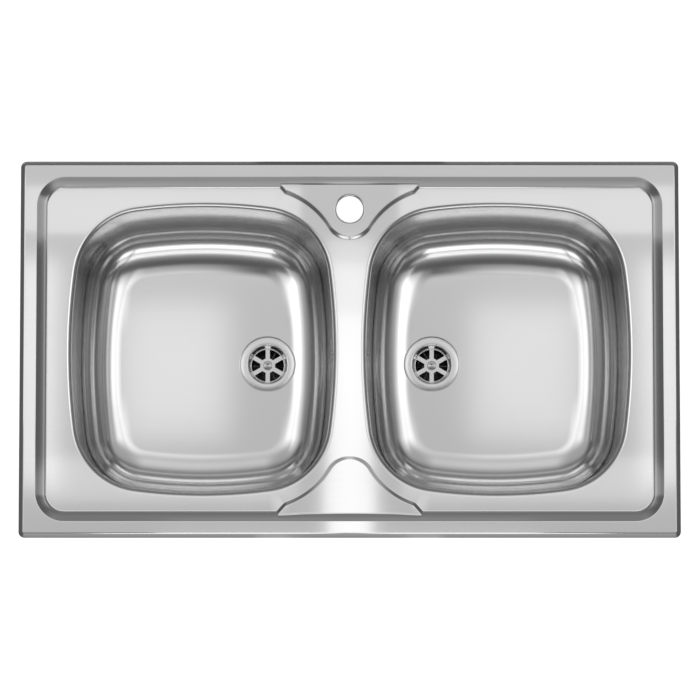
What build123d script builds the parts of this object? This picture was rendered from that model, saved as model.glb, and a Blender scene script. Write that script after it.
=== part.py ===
from build123d import *
import math
import os

# Inset double bowl kitchen sink in 0.8 mm stainless steel: a pressed deck with two drawn bowls welded to it,
# a waste and an overflow in each bowl, and swing-out clamps under the rim.
# Millimetres. Origin on the worktop surface at the middle of the sink; +Z up, +X right, -Y towards the user.

# ---- sheet and deck ----
sheet = 0.8
overall_width = 860.0
overall_depth = 495.0
outer_corner_radius = 8.0
rim_height = 6.0            # top of the rim above the worktop
rim_foot_gap = 0.4          # air between the worktop and the sheet's outer edge
skirt_width = 5.4           # sloping outer edge of the rim, seen from above
shoulder_radius = 2.6       # between the skirt and the flat of the rim
shoulder_corner_radius = 2.6  # of the rim's flat, seen from above
rim_width = 21.3            # from the outer edge to the top of the recess slope
recess_slope_width = 13.6
recess_depth = 7.0
recess_corner_radius = 38.0  # at the top of the recess slope
rim_bend_radius = 2.4
recess_bend_radius = 2.0

# ---- raised ledges at the middle of the back and of the front ----
ledge_height = 2.0          # above the recessed deck
ledge_slope_width = 3.6
tap_ledge_reach = 101.0     # from the sink's back edge to the ledge's tip
front_ledge_reach = 105.0   # from the sink's front edge to the ledge's tip
ledge_tip_radius = 31.3
ledge_flank_radius = 108.6  # concave side of the ledge's outline
ledge_flank_x = 119.2       # of the flank's centre, beside the tip's, so that both arcs share a tangent
ledge_shoulder_x = 84.0     # where the flank ends
ledge_end_angle = 48.0      # of the short run from the flank into the recess slope
tap_hole_radius = 17.5
tap_hole_inset = 63.0       # from the sink's back edge

# ---- bowls ----
middle_land = 30.0          # flat deck between the two bowls
side_land = 26.1            # flat deck between a bowl and the recess slope at the sink's end
end_land = 18.6             # flat deck between a bowl and the recess slope at the front and the back
bowl_side_radius = 825.0    # long bulge of the left and right walls
bowl_end_radius = 660.0     # long bulge of the front and back walls
bowl_corner_radius = 96.0
bowl_edge_radius = 6.5      # rolled edge between the deck and the wall
bowl_draft = 5.0            # degrees
bowl_depth = 150.0          # from the recessed deck to the bottom
bowl_bottom_radius = 50.0
weld_depth = 14.0           # weld seam between the deck's collar and the bowl, below the deck

# ---- wastes ----
drain_inset = 94.0          # from the bowl's opening, on the side of the other bowl
flange_radius = 35.3
flange_recess_gap = 1.1
flange_recess_depth = 2.4
cup_sheet = 1.0
cup_throat_radius = 25.2    # inside the cup, under its flange
cup_lip_radius = 2.2
cup_floor_radius = 22.6
cup_hole_gap = 1.3          # between the cup and the hole in the bowl
cup_depth = 13.5            # from the flange's top to the grid's top
grid_hub_radius = 9.8
grid_spoke_width = 5.6
grid_spokes = 6
grid_edge_width = 1.6       # ring left round the openings
strainer_screw_radius = 3.0
strainer_screw_head_radius = 6.1
strainer_screw_head_height = 2.8
strainer_screw_head_fillet = 1.25
strainer_screw_length = 17.5
hex_socket_width = 5.0
hex_socket_depth = 1.7
screw_clearance = 0.2
gasket_gap = 0.5            # radial room between a gasket and the hole or wall beside it
body_gasket_thickness = 3.0
body_flange_radius = 37.0
body_flange_thickness = 4.0
body_bore_gap = 1.0         # between the cup and the body's bore
body_wall = 3.4
body_bore_depth = 26.0      # from the body's top to the start of the cone
body_cone_length = 8.0
outlet_radius = 23.9        # outside of the 1 1/2 inch thread
outlet_bore_radius = 20.0
outlet_length = 24.0
body_fins = 36
body_fin_thickness = 0.9
body_fin_reach = 6.0
body_fin_height = 5.0
spider_gap = 1.0            # between the grid and the spider's hub
spider_hub_radius = 7.6
spider_hub_height = 13.0
spider_ribs = 3
spider_rib_thickness = 3.0
spider_rib_height = 7.0
insert_nut_width = 10.0     # across flats
insert_nut_height = 5.0
insert_nut_gap = 0.1

# ---- overflows ----
overflow_drop = 30.0        # from the deck to the middle of the slots
overflow_slots = 4
overflow_slot_width = 3.4
overflow_slot_height = 14.0
overflow_slot_pitch = 10.0
overflow_gasket_thickness = 2.0   # at the slots' height; it is a wedge
overflow_housing_width = 54.0
overflow_housing_height = 29.0
overflow_housing_depth = 14.5
overflow_housing_wall = 2.0
overflow_housing_corner = 3.0     # round the housing's back
overflow_gasket_frame = 5.0
overflow_screw_radius = 2.0
overflow_screw_head_radius = 3.6
overflow_screw_head_height = 1.6
overflow_screw_head_fillet = 0.9
overflow_screw_tip_gap = 1.0      # from the screw's tip to the housing's back wall
overflow_boss_radius = 4.0
overflow_boss_setback = 2.0       # of the boss behind the housing's open face
pipe_spigot_radius = 7.5
pipe_spigot_bore = 5.8
pipe_spigot_length = 16.0
pipe_spigot_inset = 8.5     # from the housing's open face to the spigot's axis
port_reach = 20.0           # of the port beyond the waste body's wall
pipe_fit_gap = 0.1
pipe_wall = 1.4
pipe_bend_radius = 35.0
pipe_overlap = 11.0         # length of spigot inside the pipe
pipe_nut_wall = 2.2
pipe_nut_length = 10.0
pipe_nut_sides = 12
overflow_port_drop = 15.5   # from the waste body's top to the port's axis

# ---- damping pads ----
pad_thickness = 2.5
pad_clear_of_drain = 22.0
pad_side_margin = 18.0      # from the far edge of the bowl's flat bottom
pad_end_margin = 44.0       # from the front and back edges of the flat bottom

# ---- fixing to the worktop ----
cutout_overlap = 12.0       # of the rim over the worktop's cut-out
seal_width = 4.6
seal_clearance = 1.6        # between the seal and the skirt
rail_sheet = 1.0
rail_flange_width = 10.0
rail_height = 22.0
front_rail_inset = 88.0     # from the cut-out's left and right edges to the rail's ends
back_rail_inset = 78.0
back_rail_gap = 180.0       # between the two back rails, clear of the tap
side_rail_inset = 65.5      # from the cut-out's front and back edges to the rail's ends
clamp_axis_inset = 16.0     # from the cut-out's edge to the clamp's screw
clamp_side_inset = 203.0    # from the cut-out's left and right edges to the front and back rails' clamps
clamp_end_inset = 115.5     # from the cut-out's front and back edges to the side rails' clamps
bracket_sheet = 1.5
bracket_width = 20.0
bracket_top_drop = 6.0      # below the worktop surface
bracket_height = 56.0
bracket_screw_offset = 10.0  # from the bracket's plate to the screw's axis
bracket_tab_overhang = 8.0
bracket_tab_corner = 5.0
lug_width = 4.0
lug_length = 4.0
lug_spacing = 12.0
lug_drop = 12.0             # below the worktop surface
lug_gap = 0.3
clamp_screw_radius = 3.0
clamp_screw_gap = 0.1
clamp_collar_radius = 5.0
clamp_collar_height = 1.0
clamp_head_width = 10.0     # across flats
clamp_head_height = 4.5
clamp_slot_width = 1.2
clamp_slot_depth = 1.5
clamp_end_gap = 0.2
clamp_nut_radius = 5.5
clamp_nut_gap = 0.05
clamp_nut_height = 9.0
clamp_nut_flange_radius = 7.5
clamp_nut_flange_height = 1.5
clamp_nut_park_gap = 2.0    # above the bracket's lower tab
clamp_nut_lip_radius = 6.8  # edge rolled over the arm, so that it stays on the nut
clamp_nut_lip_height = 1.0
arm_sheet = 3.0
arm_width = 16.0
arm_length = 36.0           # from the screw's axis to the tip
arm_tooth_height = 6.0
arm_tooth_depth = 3.0
arm_tooth_chamfer = 0.9
arm_teeth = 3
arm_gap = 0.1

# how far a cutting tool runs past what it cuts
past = 2.0

# ---- worked-out levels and places ----
deck_z = rim_height - recess_depth
ledge_z = deck_z + ledge_height
weld_z = deck_z - weld_depth
bowl_floor_z = deck_z - bowl_depth
recess_inset = rim_width + recess_slope_width
bowl_opening_width = overall_width / 2 - recess_inset - side_land - middle_land / 2
bowl_opening_depth = overall_depth - 2 * recess_inset - 2 * end_land
bowl_x = (middle_land + bowl_opening_width) / 2
drain_x = middle_land / 2 + drain_inset
drain_hole_radius = cup_throat_radius + cup_sheet + cup_hole_gap
body_bore_radius = cup_throat_radius + cup_sheet + body_bore_gap
draft_run = math.tan(math.radians(bowl_draft))
edge_run = bowl_edge_radius * math.tan(math.radians((90 - bowl_draft) / 2))
bottom_run = bowl_bottom_radius * math.tan(math.radians((90 - bowl_draft) / 2))
recess_floor_z = bowl_floor_z - flange_recess_depth
cup_floor_z = bowl_floor_z - cup_depth
body_top_z = recess_floor_z - sheet - body_gasket_thickness
outlet_top_z = body_top_z - body_bore_depth - body_cone_length
outlet_end_z = outlet_top_z - outlet_length
port_z = body_top_z - overflow_port_drop
overflow_z = deck_z - overflow_drop
cutout_x = overall_width / 2 - cutout_overlap
cutout_y = overall_depth / 2 - cutout_overlap
clamp_x = cutout_x - clamp_side_inset
clamp_y = cutout_y - clamp_end_inset


def wall_inset(depth):
    """Distance from the edge of the bowl's opening to its inner wall, at a depth below the deck."""
    return edge_run + depth * draft_run


def bowl_outline(inset, z):
    """Face with the barrel-sided outline of a bowl, parallel to its opening and inset from it."""
    half_w = bowl_opening_width / 2
    half_d = bowl_opening_depth / 2
    side_x = half_w - bowl_side_radius
    end_y = half_d - bowl_end_radius
    to_side = bowl_side_radius - bowl_corner_radius
    to_end = bowl_end_radius - bowl_corner_radius
    apart = math.hypot(side_x, end_y)
    along = (to_side**2 - to_end**2 + apart**2) / (2 * apart)
    across = math.sqrt(to_side**2 - along**2)
    ux, uy = -side_x / apart, end_y / apart
    corner_x = side_x + along * ux - across * uy
    corner_y = along * uy + across * ux
    side_half = math.degrees(math.atan2(corner_y, corner_x - side_x))
    end_half = math.degrees(math.atan2(corner_x, corner_y - end_y))
    side_r = bowl_side_radius - inset
    end_r = bowl_end_radius - inset
    corner_r = bowl_corner_radius - inset
    corner_sweep = 90 - side_half - end_half
    arcs = [
        CenterArc((side_x, 0), side_r, -side_half, 2 * side_half),
        CenterArc((corner_x, corner_y), corner_r, side_half, corner_sweep),
        CenterArc((0, end_y), end_r, 90 - end_half, 2 * end_half),
        CenterArc((-corner_x, corner_y), corner_r, 90 + end_half, corner_sweep),
        CenterArc((-side_x, 0), side_r, 180 - side_half, 2 * side_half),
        CenterArc((-corner_x, -corner_y), corner_r, 180 + side_half, corner_sweep),
        CenterArc((0, -end_y), end_r, 270 - end_half, 2 * end_half),
        CenterArc((corner_x, -corner_y), corner_r, 270 + end_half, corner_sweep),
    ]
    return Pos(0, 0, z) * make_face(Curve() + arcs)


def rim_outline(inset, radius, z):
    """Face with the sink's rounded outline, inset from its outer edge."""
    return Pos(0, 0, z) * RectangleRounded(overall_width - 2 * inset, overall_depth - 2 * inset, radius)


def level_edges(shape, z):
    """Edges that lie flat at a level."""
    near = 1e-4
    return [e for e in shape.edges() if abs(e.bounding_box().min.Z - z) < near
            and abs(e.bounding_box().max.Z - z) < near]


def ledge_outline(ledge_reach, spread, z):
    """Face of a ledge that runs from its tip out to under the rim, widened by spread on its free sides."""
    flank_reach = ledge_tip_radius + ledge_flank_radius
    tip_centre_y = overall_depth / 2 - ledge_reach + ledge_tip_radius
    drop = math.sqrt(ledge_flank_radius**2 - (ledge_flank_x - ledge_shoulder_x) ** 2)
    flank_y = tip_centre_y - math.sqrt(flank_reach**2 - ledge_flank_x**2)
    turn = math.atan2(flank_y - tip_centre_y, ledge_flank_x)
    tip_r = ledge_tip_radius + spread
    flank_r = ledge_flank_radius - spread
    join = (tip_r * math.cos(turn), tip_centre_y + tip_r * math.sin(turn))
    shoulder_angle = math.atan2(drop, ledge_shoulder_x - ledge_flank_x)
    shoulder = (ledge_flank_x + flank_r * math.cos(shoulder_angle),
                flank_y + flank_r * math.sin(shoulder_angle))
    end_rad = math.radians(ledge_end_angle)
    rise = overall_depth / 2 - rim_width + ledge_slope_width - shoulder[1]
    end = (shoulder[0] + rise / math.tan(end_rad), shoulder[1] + rise)
    mid_angle = (shoulder_angle + turn + math.pi) / 2
    flank_mid = (ledge_flank_x + flank_r * math.cos(mid_angle), flank_y + flank_r * math.sin(mid_angle))
    mirrored = [(-x, y) for x, y in (end, shoulder, flank_mid, join)]
    lines = [
        ThreePointArc(mirrored[3], (0, tip_centre_y - tip_r), join),
        ThreePointArc(join, flank_mid, shoulder),
        Line(shoulder, end),
        Line(end, mirrored[0]),
        Line(mirrored[0], mirrored[1]),
        ThreePointArc(mirrored[1], mirrored[2], mirrored[3]),
    ]
    return Pos(0, 0, z) * make_face(Curve() + lines)


def deck_block(drop):
    """Everything under the deck's surface, with that surface lowered by drop, down past the weld seam."""
    foot_z = rim_foot_gap + sheet
    bottom_z = weld_z - 4 * drop
    base = extrude(rim_outline(0, outer_corner_radius, bottom_z), foot_z - drop - bottom_z)
    skirt = loft([rim_outline(0, outer_corner_radius, foot_z - drop),
                  rim_outline(skirt_width, shoulder_corner_radius, rim_height - drop)], ruled=True)
    skirt = fillet(level_edges(skirt, rim_height - drop), shoulder_radius)
    recess_foot_corner = recess_corner_radius - recess_slope_width
    recess = loft([rim_outline(rim_width, recess_corner_radius, rim_height - drop),
                   rim_outline(recess_inset, recess_foot_corner, deck_z - drop)], ruled=True)
    return base + skirt - recess


def bowl_shaft(skin, top_z, bottom_z):
    """Space inside a bowl's wall, grown by skin, between two levels."""
    grow = skin / math.cos(math.radians(bowl_draft))
    return loft([bowl_outline(wall_inset(deck_z - bottom_z) - grow, bottom_z),
                 bowl_outline(wall_inset(deck_z - top_z) - grow, top_z)], ruled=True)


def deck_side(drop):
    """The deck's block with its bowl openings, rolled edges and ledges. Drop is 0 on top, the sheet below."""
    block = deck_block(drop)
    top_z = deck_z - drop
    rim_middle = (skirt_width + rim_width) / 2
    rim_edges = [e for e in level_edges(block, rim_height - drop)
                 if abs(e.center().X) < overall_width / 2 - rim_middle
                 and abs(e.center().Y) < overall_depth / 2 - rim_middle]
    block = fillet(rim_edges, rim_bend_radius)
    block = fillet(level_edges(block, top_z), recess_bend_radius)
    for side in (-1, 1):
        block -= Pos(side * bowl_x, 0, 0) * bowl_shaft(drop, top_z, weld_z - 4 * sheet - past)
    rolled = [e for e in level_edges(block, top_z)
              if abs(abs(e.center().X) - bowl_x) < bowl_opening_width / 2
              and abs(e.center().Y) < bowl_opening_depth / 2]
    block = fillet(rolled, bowl_edge_radius - drop)
    half_slope = ledge_slope_width / 2
    tap = loft([ledge_outline(tap_ledge_reach, half_slope, top_z),
                ledge_outline(tap_ledge_reach, -half_slope, ledge_z - drop)], ruled=True)
    front = loft([ledge_outline(front_ledge_reach, half_slope, top_z),
                  ledge_outline(front_ledge_reach, -half_slope, ledge_z - drop)], ruled=True)
    return block + tap + Rot(0, 0, 180) * front


def make_deck():
    deck = deck_side(0) - deck_side(sheet)
    return deck - Pos(0, overall_depth / 2 - tap_hole_inset, ledge_z) * Cylinder(tap_hole_radius, 2 * past)


def bowl_volume(skin):
    """Bowl from the weld seam to its bottom, with the large bottom radius. Skin is 0 inside."""
    shaft = bowl_shaft(skin, weld_z, bowl_floor_z - skin)
    return fillet(level_edges(shaft, bowl_floor_z - skin), bowl_bottom_radius + skin)


def drain_press(skin):
    """Shallow round recess that the waste's flange sits in."""
    radius = flange_radius + flange_recess_gap + skin
    depth = flange_recess_depth + skin
    return Pos(drain_x - bowl_x, 0, bowl_floor_z - depth) * Cylinder(
        radius, depth + past, align=on_foot)


def make_bowl():
    """The right bowl about its own centre: its drain and overflow are towards -X."""
    bowl = bowl_volume(sheet) + drain_press(sheet) - bowl_volume(0) - drain_press(0)
    bowl -= Pos(drain_x - bowl_x, 0, recess_floor_z) * Cylinder(drain_hole_radius, 2 * past)
    wall_x = -bowl_opening_width / 2 + wall_inset(overflow_drop)
    slot = Pos(wall_x, 0, overflow_z) * extrude(
        Rot(0, 90, 0) * SlotOverall(overflow_slot_height, overflow_slot_width), 2 * past, both=True)
    first = -(overflow_slots - 1) / 2
    for i in range(overflow_slots):
        bowl -= Pos(0, (first + i) * overflow_slot_pitch, 0) * slot
    return bowl - Pos(wall_x, 0, overflow_z) * Rot(0, 90, 0) * Cylinder(
        overflow_screw_radius + screw_clearance, 4 * past)


on_foot = (Align.CENTER, Align.CENTER, Align.MIN)


def upright(radius, bottom_z, top_z):
    return Pos(0, 0, bottom_z) * Cylinder(radius, top_z - bottom_z, align=on_foot)


def ring(outer, inner, bottom_z, top_z):
    return upright(outer, bottom_z, top_z) - upright(inner, bottom_z - past, top_z + past)


def make_strainer_cup():
    """Pressed cup, its flange in the bowl's recess and its floor a grid of spokes, about the drain's axis."""
    top = bowl_floor_z
    inner = [(flange_radius, top), (cup_throat_radius + cup_lip_radius, top)]
    lip_mid = (cup_throat_radius + cup_lip_radius * (1 - math.sin(math.pi / 4)),
               top - cup_lip_radius * (1 - math.sin(math.pi / 4)))
    throat = (cup_throat_radius, top - cup_lip_radius)
    corner = (cup_floor_radius, cup_floor_z)
    outline = [
        Line(inner[0], inner[1]),
        ThreePointArc(inner[1], lip_mid, throat),
        Line(throat, corner),
        Line(corner, (0, cup_floor_z)),
        Line((0, cup_floor_z), (0, cup_floor_z - cup_sheet)),
        Line((0, cup_floor_z - cup_sheet), (cup_floor_radius + cup_sheet, cup_floor_z - cup_sheet)),
        Line((cup_floor_radius + cup_sheet, cup_floor_z - cup_sheet), (throat[0] + cup_sheet, throat[1])),
        Line((throat[0] + cup_sheet, throat[1]), (inner[1][0], top - cup_sheet)),
        Line((inner[1][0], top - cup_sheet), (flange_radius, top - cup_sheet)),
        Line((flange_radius, top - cup_sheet), inner[0]),
    ]
    face = make_face(Plane.XZ * (Curve() + outline))
    cup = revolve(face, Axis.Z)
    outer = cup_floor_radius - grid_edge_width
    opening = ring(outer, grid_hub_radius, cup_floor_z - 2 * cup_sheet, cup_floor_z + cup_sheet)
    for i in range(grid_spokes):
        spoke = Box(2 * flange_radius, grid_spoke_width, 6 * cup_sheet,
                    align=(Align.MIN, Align.CENTER, Align.CENTER))
        opening -= Pos(0, 0, cup_floor_z) * Rot(0, 0, 90 + i * 360 / grid_spokes) * spoke
    cup -= opening
    return cup - upright(strainer_screw_radius + screw_clearance, cup_floor_z - past, cup_floor_z + past)


def make_strainer_screw():
    """Socket screw that draws the cup and the waste body together."""
    head = upright(strainer_screw_head_radius, cup_floor_z, cup_floor_z + strainer_screw_head_height)
    head = fillet(level_edges(head, cup_floor_z + strainer_screw_head_height), strainer_screw_head_fillet)
    socket = extrude(Pos(0, 0, cup_floor_z + strainer_screw_head_height - hex_socket_depth)
                     * RegularPolygon(hex_socket_width / 2, 6, major_radius=False), hex_socket_depth + past)
    return head - socket + upright(strainer_screw_radius, cup_floor_z - strainer_screw_length, cup_floor_z)


def make_waste_body():
    """Plastic body under the bowl: flange, bore with fins, spider for the screw, overflow port and outlet."""
    bore_end = body_top_z - body_bore_depth
    outer = body_bore_radius + body_wall
    shell = upright(body_flange_radius, body_top_z - body_flange_thickness, body_top_z)
    shell += upright(outer, bore_end, body_top_z - body_flange_thickness)
    shell += Pos(0, 0, bore_end) * Rot(180, 0, 0) * Cone(
        outer, outlet_radius, body_cone_length, align=on_foot)
    shell += upright(outlet_radius, outlet_end_z, outlet_top_z)
    port = Pos(0, 0, port_z) * Rot(0, -90, 0) * Cylinder(
        pipe_spigot_radius, port_end, align=on_foot)
    shell += port
    shell -= upright(body_bore_radius, bore_end, body_top_z + past)
    shell -= Pos(0, 0, bore_end) * Rot(180, 0, 0) * Cone(
        body_bore_radius, outlet_bore_radius, body_cone_length, align=on_foot)
    shell -= upright(outlet_bore_radius, outlet_end_z - past, outlet_top_z)
    shell -= Pos(0, 0, port_z) * Rot(0, -90, 0) * Cylinder(
        pipe_spigot_bore, port_end + past, align=on_foot)
    hub_top = spider_top_z
    hub_bottom = hub_top - spider_hub_height
    spider = upright(spider_hub_radius, hub_bottom, hub_top)
    for i in range(spider_ribs):
        rib = Box(body_bore_radius + body_wall / 2, spider_rib_thickness, spider_rib_height,
                  align=(Align.MIN, Align.CENTER, Align.MIN))
        spider += Pos(0, 0, hub_bottom) * Rot(0, 0, i * 360 / spider_ribs) * rib
    fin = Pos(body_bore_radius - body_fin_reach, 0, bore_end) * Box(
        body_fin_reach + body_wall / 2, body_fin_thickness, body_fin_height,
        align=(Align.MIN, Align.CENTER, Align.MIN))
    fins = [Rot(0, 0, (i + 0.5) * 360 / body_fins) * fin for i in range(body_fins)]
    body = shell + spider + fins
    body -= upright(strainer_screw_radius + screw_clearance, hub_bottom - past, hub_top + past)
    pocket = extrude(Pos(0, 0, hub_bottom - past)
                     * RegularPolygon(insert_nut_width / 2 + insert_nut_gap, 6, major_radius=False),
                     insert_nut_height + past)
    return body - pocket


def make_insert_nut():
    """Hex nut in the spider's pocket."""
    bottom = spider_top_z - spider_hub_height
    top = bottom + insert_nut_height
    hexagon = RegularPolygon(insert_nut_width / 2, 6, major_radius=False)
    nut = extrude(Pos(0, 0, bottom) * hexagon, insert_nut_height)
    return nut - upright(strainer_screw_radius + clamp_nut_gap, bottom - past, top + past)


def overflow_block(near_x, far_x, width, height):
    """Box behind the bowl's inner wall, from near_x to far_x and centred on the overflow slots."""
    return Pos((near_x + far_x) / 2, 0, overflow_z) * Box(abs(far_x - near_x), width, height)


def make_overflow_gasket(bowl_outer):
    """Wedge of rubber between the bowl's slanted wall and the housing's upright face, open in the middle."""
    near_x = housing_face_x - 6 * overflow_gasket_thickness
    pad = overflow_block(near_x, housing_face_x, overflow_housing_width, overflow_housing_height)
    hole = overflow_block(near_x - past, housing_face_x + past,
                          overflow_housing_width - 2 * overflow_gasket_frame,
                          overflow_housing_height - 2 * overflow_gasket_frame)
    return pad - hole - bowl_outer


def make_overflow_housing():
    """Plastic box that catches the overflow, with a screw boss and a spigot that points down."""
    back_x = housing_face_x + overflow_housing_depth
    box = overflow_block(housing_face_x, back_x, overflow_housing_width, overflow_housing_height)
    box = fillet(box.faces().sort_by(Axis.X)[-1].edges(), overflow_housing_corner)
    box -= overflow_block(housing_face_x - past, back_x - overflow_housing_wall,
                          overflow_housing_width - 2 * overflow_gasket_frame,
                          overflow_housing_height - 2 * overflow_gasket_frame)
    floor_z = overflow_z - overflow_housing_height / 2
    box += Pos(pipe_x, 0, 0) * upright(pipe_spigot_radius, floor_z - pipe_spigot_length, floor_z)
    box -= Pos(pipe_x, 0, 0) * upright(pipe_spigot_bore, floor_z - pipe_spigot_length - past,
                                       floor_z + overflow_gasket_frame + past)
    boss = Pos(back_x - overflow_housing_wall, 0, overflow_z) * Rot(0, -90, 0) * Cylinder(
        overflow_boss_radius, overflow_housing_depth - overflow_housing_wall - overflow_boss_setback,
        align=on_foot)
    hole = Pos(back_x - overflow_housing_wall, 0, overflow_z) * Rot(0, -90, 0) * Cylinder(
        overflow_screw_radius + clamp_nut_gap, overflow_housing_depth,
        align=on_foot)
    return box + boss - hole


def make_overflow_screw():
    """Pan-head screw through the middle of the slots into the housing's boss."""
    seat_x = overflow_wall_x - (overflow_screw_head_radius + screw_clearance) * draft_run
    tip_x = housing_face_x + overflow_housing_depth - overflow_housing_wall - overflow_screw_tip_gap
    head = Pos(seat_x, 0, overflow_z) * Rot(0, -90, 0) * Cylinder(
        overflow_screw_head_radius, overflow_screw_head_height, align=on_foot)
    head = fillet(head.edges().group_by(Axis.X)[0], overflow_screw_head_fillet)
    shank = Pos(seat_x, 0, overflow_z) * Rot(0, 90, 0) * Cylinder(
        overflow_screw_radius, tip_x - seat_x, align=on_foot)
    return head + shank


def pipe_route():
    """Centreline of the overflow pipe, from the housing's spigot down and across to the waste body's port."""
    start = (pipe_x, 0, overflow_z - overflow_housing_height / 2 - pipe_spigot_length + pipe_overlap)
    corner = (pipe_x, 0, port_z)
    end = (-drain_x + port_end - pipe_overlap, 0, port_z)
    return FilletPolyline(start, corner, end, radius=pipe_bend_radius)


def tube(path, outer, inner):
    section = Plane(path @ 0, z_dir=path % 0) * (Circle(outer) - Circle(inner))
    return sweep(section, path)


def make_pipe():
    inner = pipe_spigot_radius + pipe_fit_gap
    return tube(pipe_route(), inner + pipe_wall, inner)


def make_pipe_nuts():
    """Two plastic nuts that press the pipe on its spigots."""
    inner = pipe_spigot_radius + pipe_fit_gap + pipe_wall + pipe_fit_gap
    route = pipe_route()
    nuts = []
    for place, direction in ((route @ 0, route % 0), (route @ 1, -(route % 1))):
        plane = Plane(place, z_dir=direction)
        outline = RegularPolygon(inner + pipe_nut_wall, pipe_nut_sides, major_radius=False) - Circle(inner)
        nuts.append(extrude(plane * outline, pipe_nut_length))
    return nuts


def rail(length, gaps):
    """Angle rail along X, its web's outer face on the XZ plane facing +Y, its flange's top under the deck."""
    top = deck_z - sheet
    flange = Pos(0, -rail_sheet, top) * Box(length, rail_flange_width, rail_sheet,
                                            align=(Align.CENTER, Align.MAX, Align.MAX))
    web = Pos(0, 0, top) * Box(length, rail_sheet, rail_height, align=(Align.CENTER, Align.MAX, Align.MAX))
    body = flange + web
    for x in gaps:
        for side in (-1, 1):
            body -= Pos(x + side * lug_spacing / 2, -rail_sheet / 2, -lug_drop) * Box(
                lug_width + 2 * lug_gap, 4 * rail_sheet, bracket_sheet + 2 * lug_gap)
    return body


def clamp_bracket():
    """Bracket that hangs on a rail, its plate on the XZ plane facing +Y, its two tabs holding the screw."""
    top = -bracket_top_drop
    reach = bracket_screw_offset + bracket_tab_overhang
    body = Pos(0, 0, top) * Box(bracket_width, bracket_sheet, bracket_height,
                                align=(Align.CENTER, Align.MIN, Align.MAX))
    for z in (top, top - bracket_height + bracket_sheet):
        tab = Pos(0, 0, z) * Box(bracket_width, bracket_sheet + reach, bracket_sheet,
                                 align=(Align.CENTER, Align.MIN, Align.MAX))
        tab_corners = [e for e in tab.edges().filter_by(Axis.Z) if e.center().Y > reach / 2]
        body += fillet(tab_corners, bracket_tab_corner)
    for side in (-1, 1):
        body += Pos(side * lug_spacing / 2, 0, -lug_drop) * Box(
            lug_width, lug_length, bracket_sheet, align=(Align.CENTER, Align.MAX, Align.CENTER))
    hole = upright(clamp_screw_radius + clamp_screw_gap, top - bracket_height - past, top + past)
    return body - Pos(0, bracket_sheet + bracket_screw_offset, 0) * hole


def clamp_screw():
    """Captive screw: hex head under the lower tab and a riveted collar over the upper one."""
    top = -bracket_top_drop
    low = top - bracket_height
    collar = upright(clamp_collar_radius, top + clamp_end_gap, top + clamp_end_gap + clamp_collar_height)
    head_top = low - clamp_end_gap
    head = extrude(Pos(0, 0, head_top - clamp_head_height)
                   * RegularPolygon(clamp_head_width / 2, 6, major_radius=False), clamp_head_height)
    slot = Box(2 * clamp_head_width, clamp_slot_width, 2 * clamp_slot_depth)
    head -= Pos(0, 0, head_top - clamp_head_height) * slot
    return collar + upright(clamp_screw_radius, head_top, top + clamp_end_gap) + head


def clamp_nut():
    """Flanged nut on the screw that carries the arm, parked just above the lower tab."""
    body = upright(clamp_nut_radius, nut_bottom_z, nut_bottom_z + clamp_nut_height)
    body += upright(clamp_nut_flange_radius, nut_bottom_z, nut_bottom_z + clamp_nut_flange_height)
    lip_z = nut_bottom_z + clamp_nut_flange_height + arm_sheet + 2 * arm_gap
    body += upright(clamp_nut_lip_radius, lip_z, lip_z + clamp_nut_lip_height)
    top = nut_bottom_z + clamp_nut_height
    return body - upright(clamp_screw_radius + clamp_nut_gap, nut_bottom_z - past, top + past)


def clamp_arm():
    """Arm round the nut, parked along +X, with upturned teeth at its tip."""
    bottom = nut_bottom_z + clamp_nut_flange_height + arm_gap
    eye = upright(arm_width / 2, bottom, bottom + arm_sheet)
    blade = Pos(0, 0, bottom) * Box(arm_length, arm_width, arm_sheet,
                                    align=(Align.MIN, Align.CENTER, Align.MIN))
    arm = eye + blade
    tooth_width = arm_width / (2 * arm_teeth - 1)
    for i in range(arm_teeth):
        y = -arm_width / 2 + (2 * i + 0.5) * tooth_width
        tooth = Pos(arm_length, y, bottom + arm_sheet) * Box(
            arm_tooth_depth, tooth_width, arm_tooth_height, align=(Align.MAX, Align.CENTER, Align.MIN))
        top_edges = tooth.edges().filter_by(Axis.Y).group_by(Axis.Z)[-1]
        arm += chamfer(top_edges, arm_tooth_chamfer)
    hole = upright(clamp_nut_radius + arm_gap, bottom - past, bottom + arm_sheet + past)
    return arm - hole


# ---- places that several pieces share ----
overflow_wall_x = -middle_land / 2 - wall_inset(overflow_drop)
housing_face_x = overflow_wall_x + sheet + overflow_gasket_thickness
pipe_x = housing_face_x + pipe_spigot_inset
port_end = body_bore_radius + body_wall + port_reach
spider_top_z = cup_floor_z - cup_sheet - spider_gap
nut_bottom_z = -bracket_top_drop - bracket_height + bracket_sheet + clamp_nut_park_gap
rail_face_x = cutout_x - clamp_axis_inset - bracket_screw_offset - bracket_sheet
rail_face_y = cutout_y - clamp_axis_inset - bracket_screw_offset - bracket_sheet

# each clamp: where its rail's face is, and the turn from +Y to the way it faces
clamp_places = [
    Location((-clamp_x, -rail_face_y, 0), (0, 0, 180)),
    Location((clamp_x, -rail_face_y, 0), (0, 0, 180)),
    Location((rail_face_x, -clamp_y, 0), (0, 0, -90)),
    Location((rail_face_x, clamp_y, 0), (0, 0, -90)),
    Location((clamp_x, rail_face_y, 0), (0, 0, 0)),
    Location((-clamp_x, rail_face_y, 0), (0, 0, 0)),
    Location((-rail_face_x, clamp_y, 0), (0, 0, 90)),
    Location((-rail_face_x, -clamp_y, 0), (0, 0, 90)),
]

os.makedirs("parts", exist_ok=True)


def save(name, shapes):
    """Writes one node. Several solids of like fasteners stay separate in it."""
    solids = shapes if isinstance(shapes, list) else [shapes]
    export_step(Compound(children=[s for shape in solids for s in shape.solids()]), f"parts/{name}.step")


save("deck", make_deck())

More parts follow.
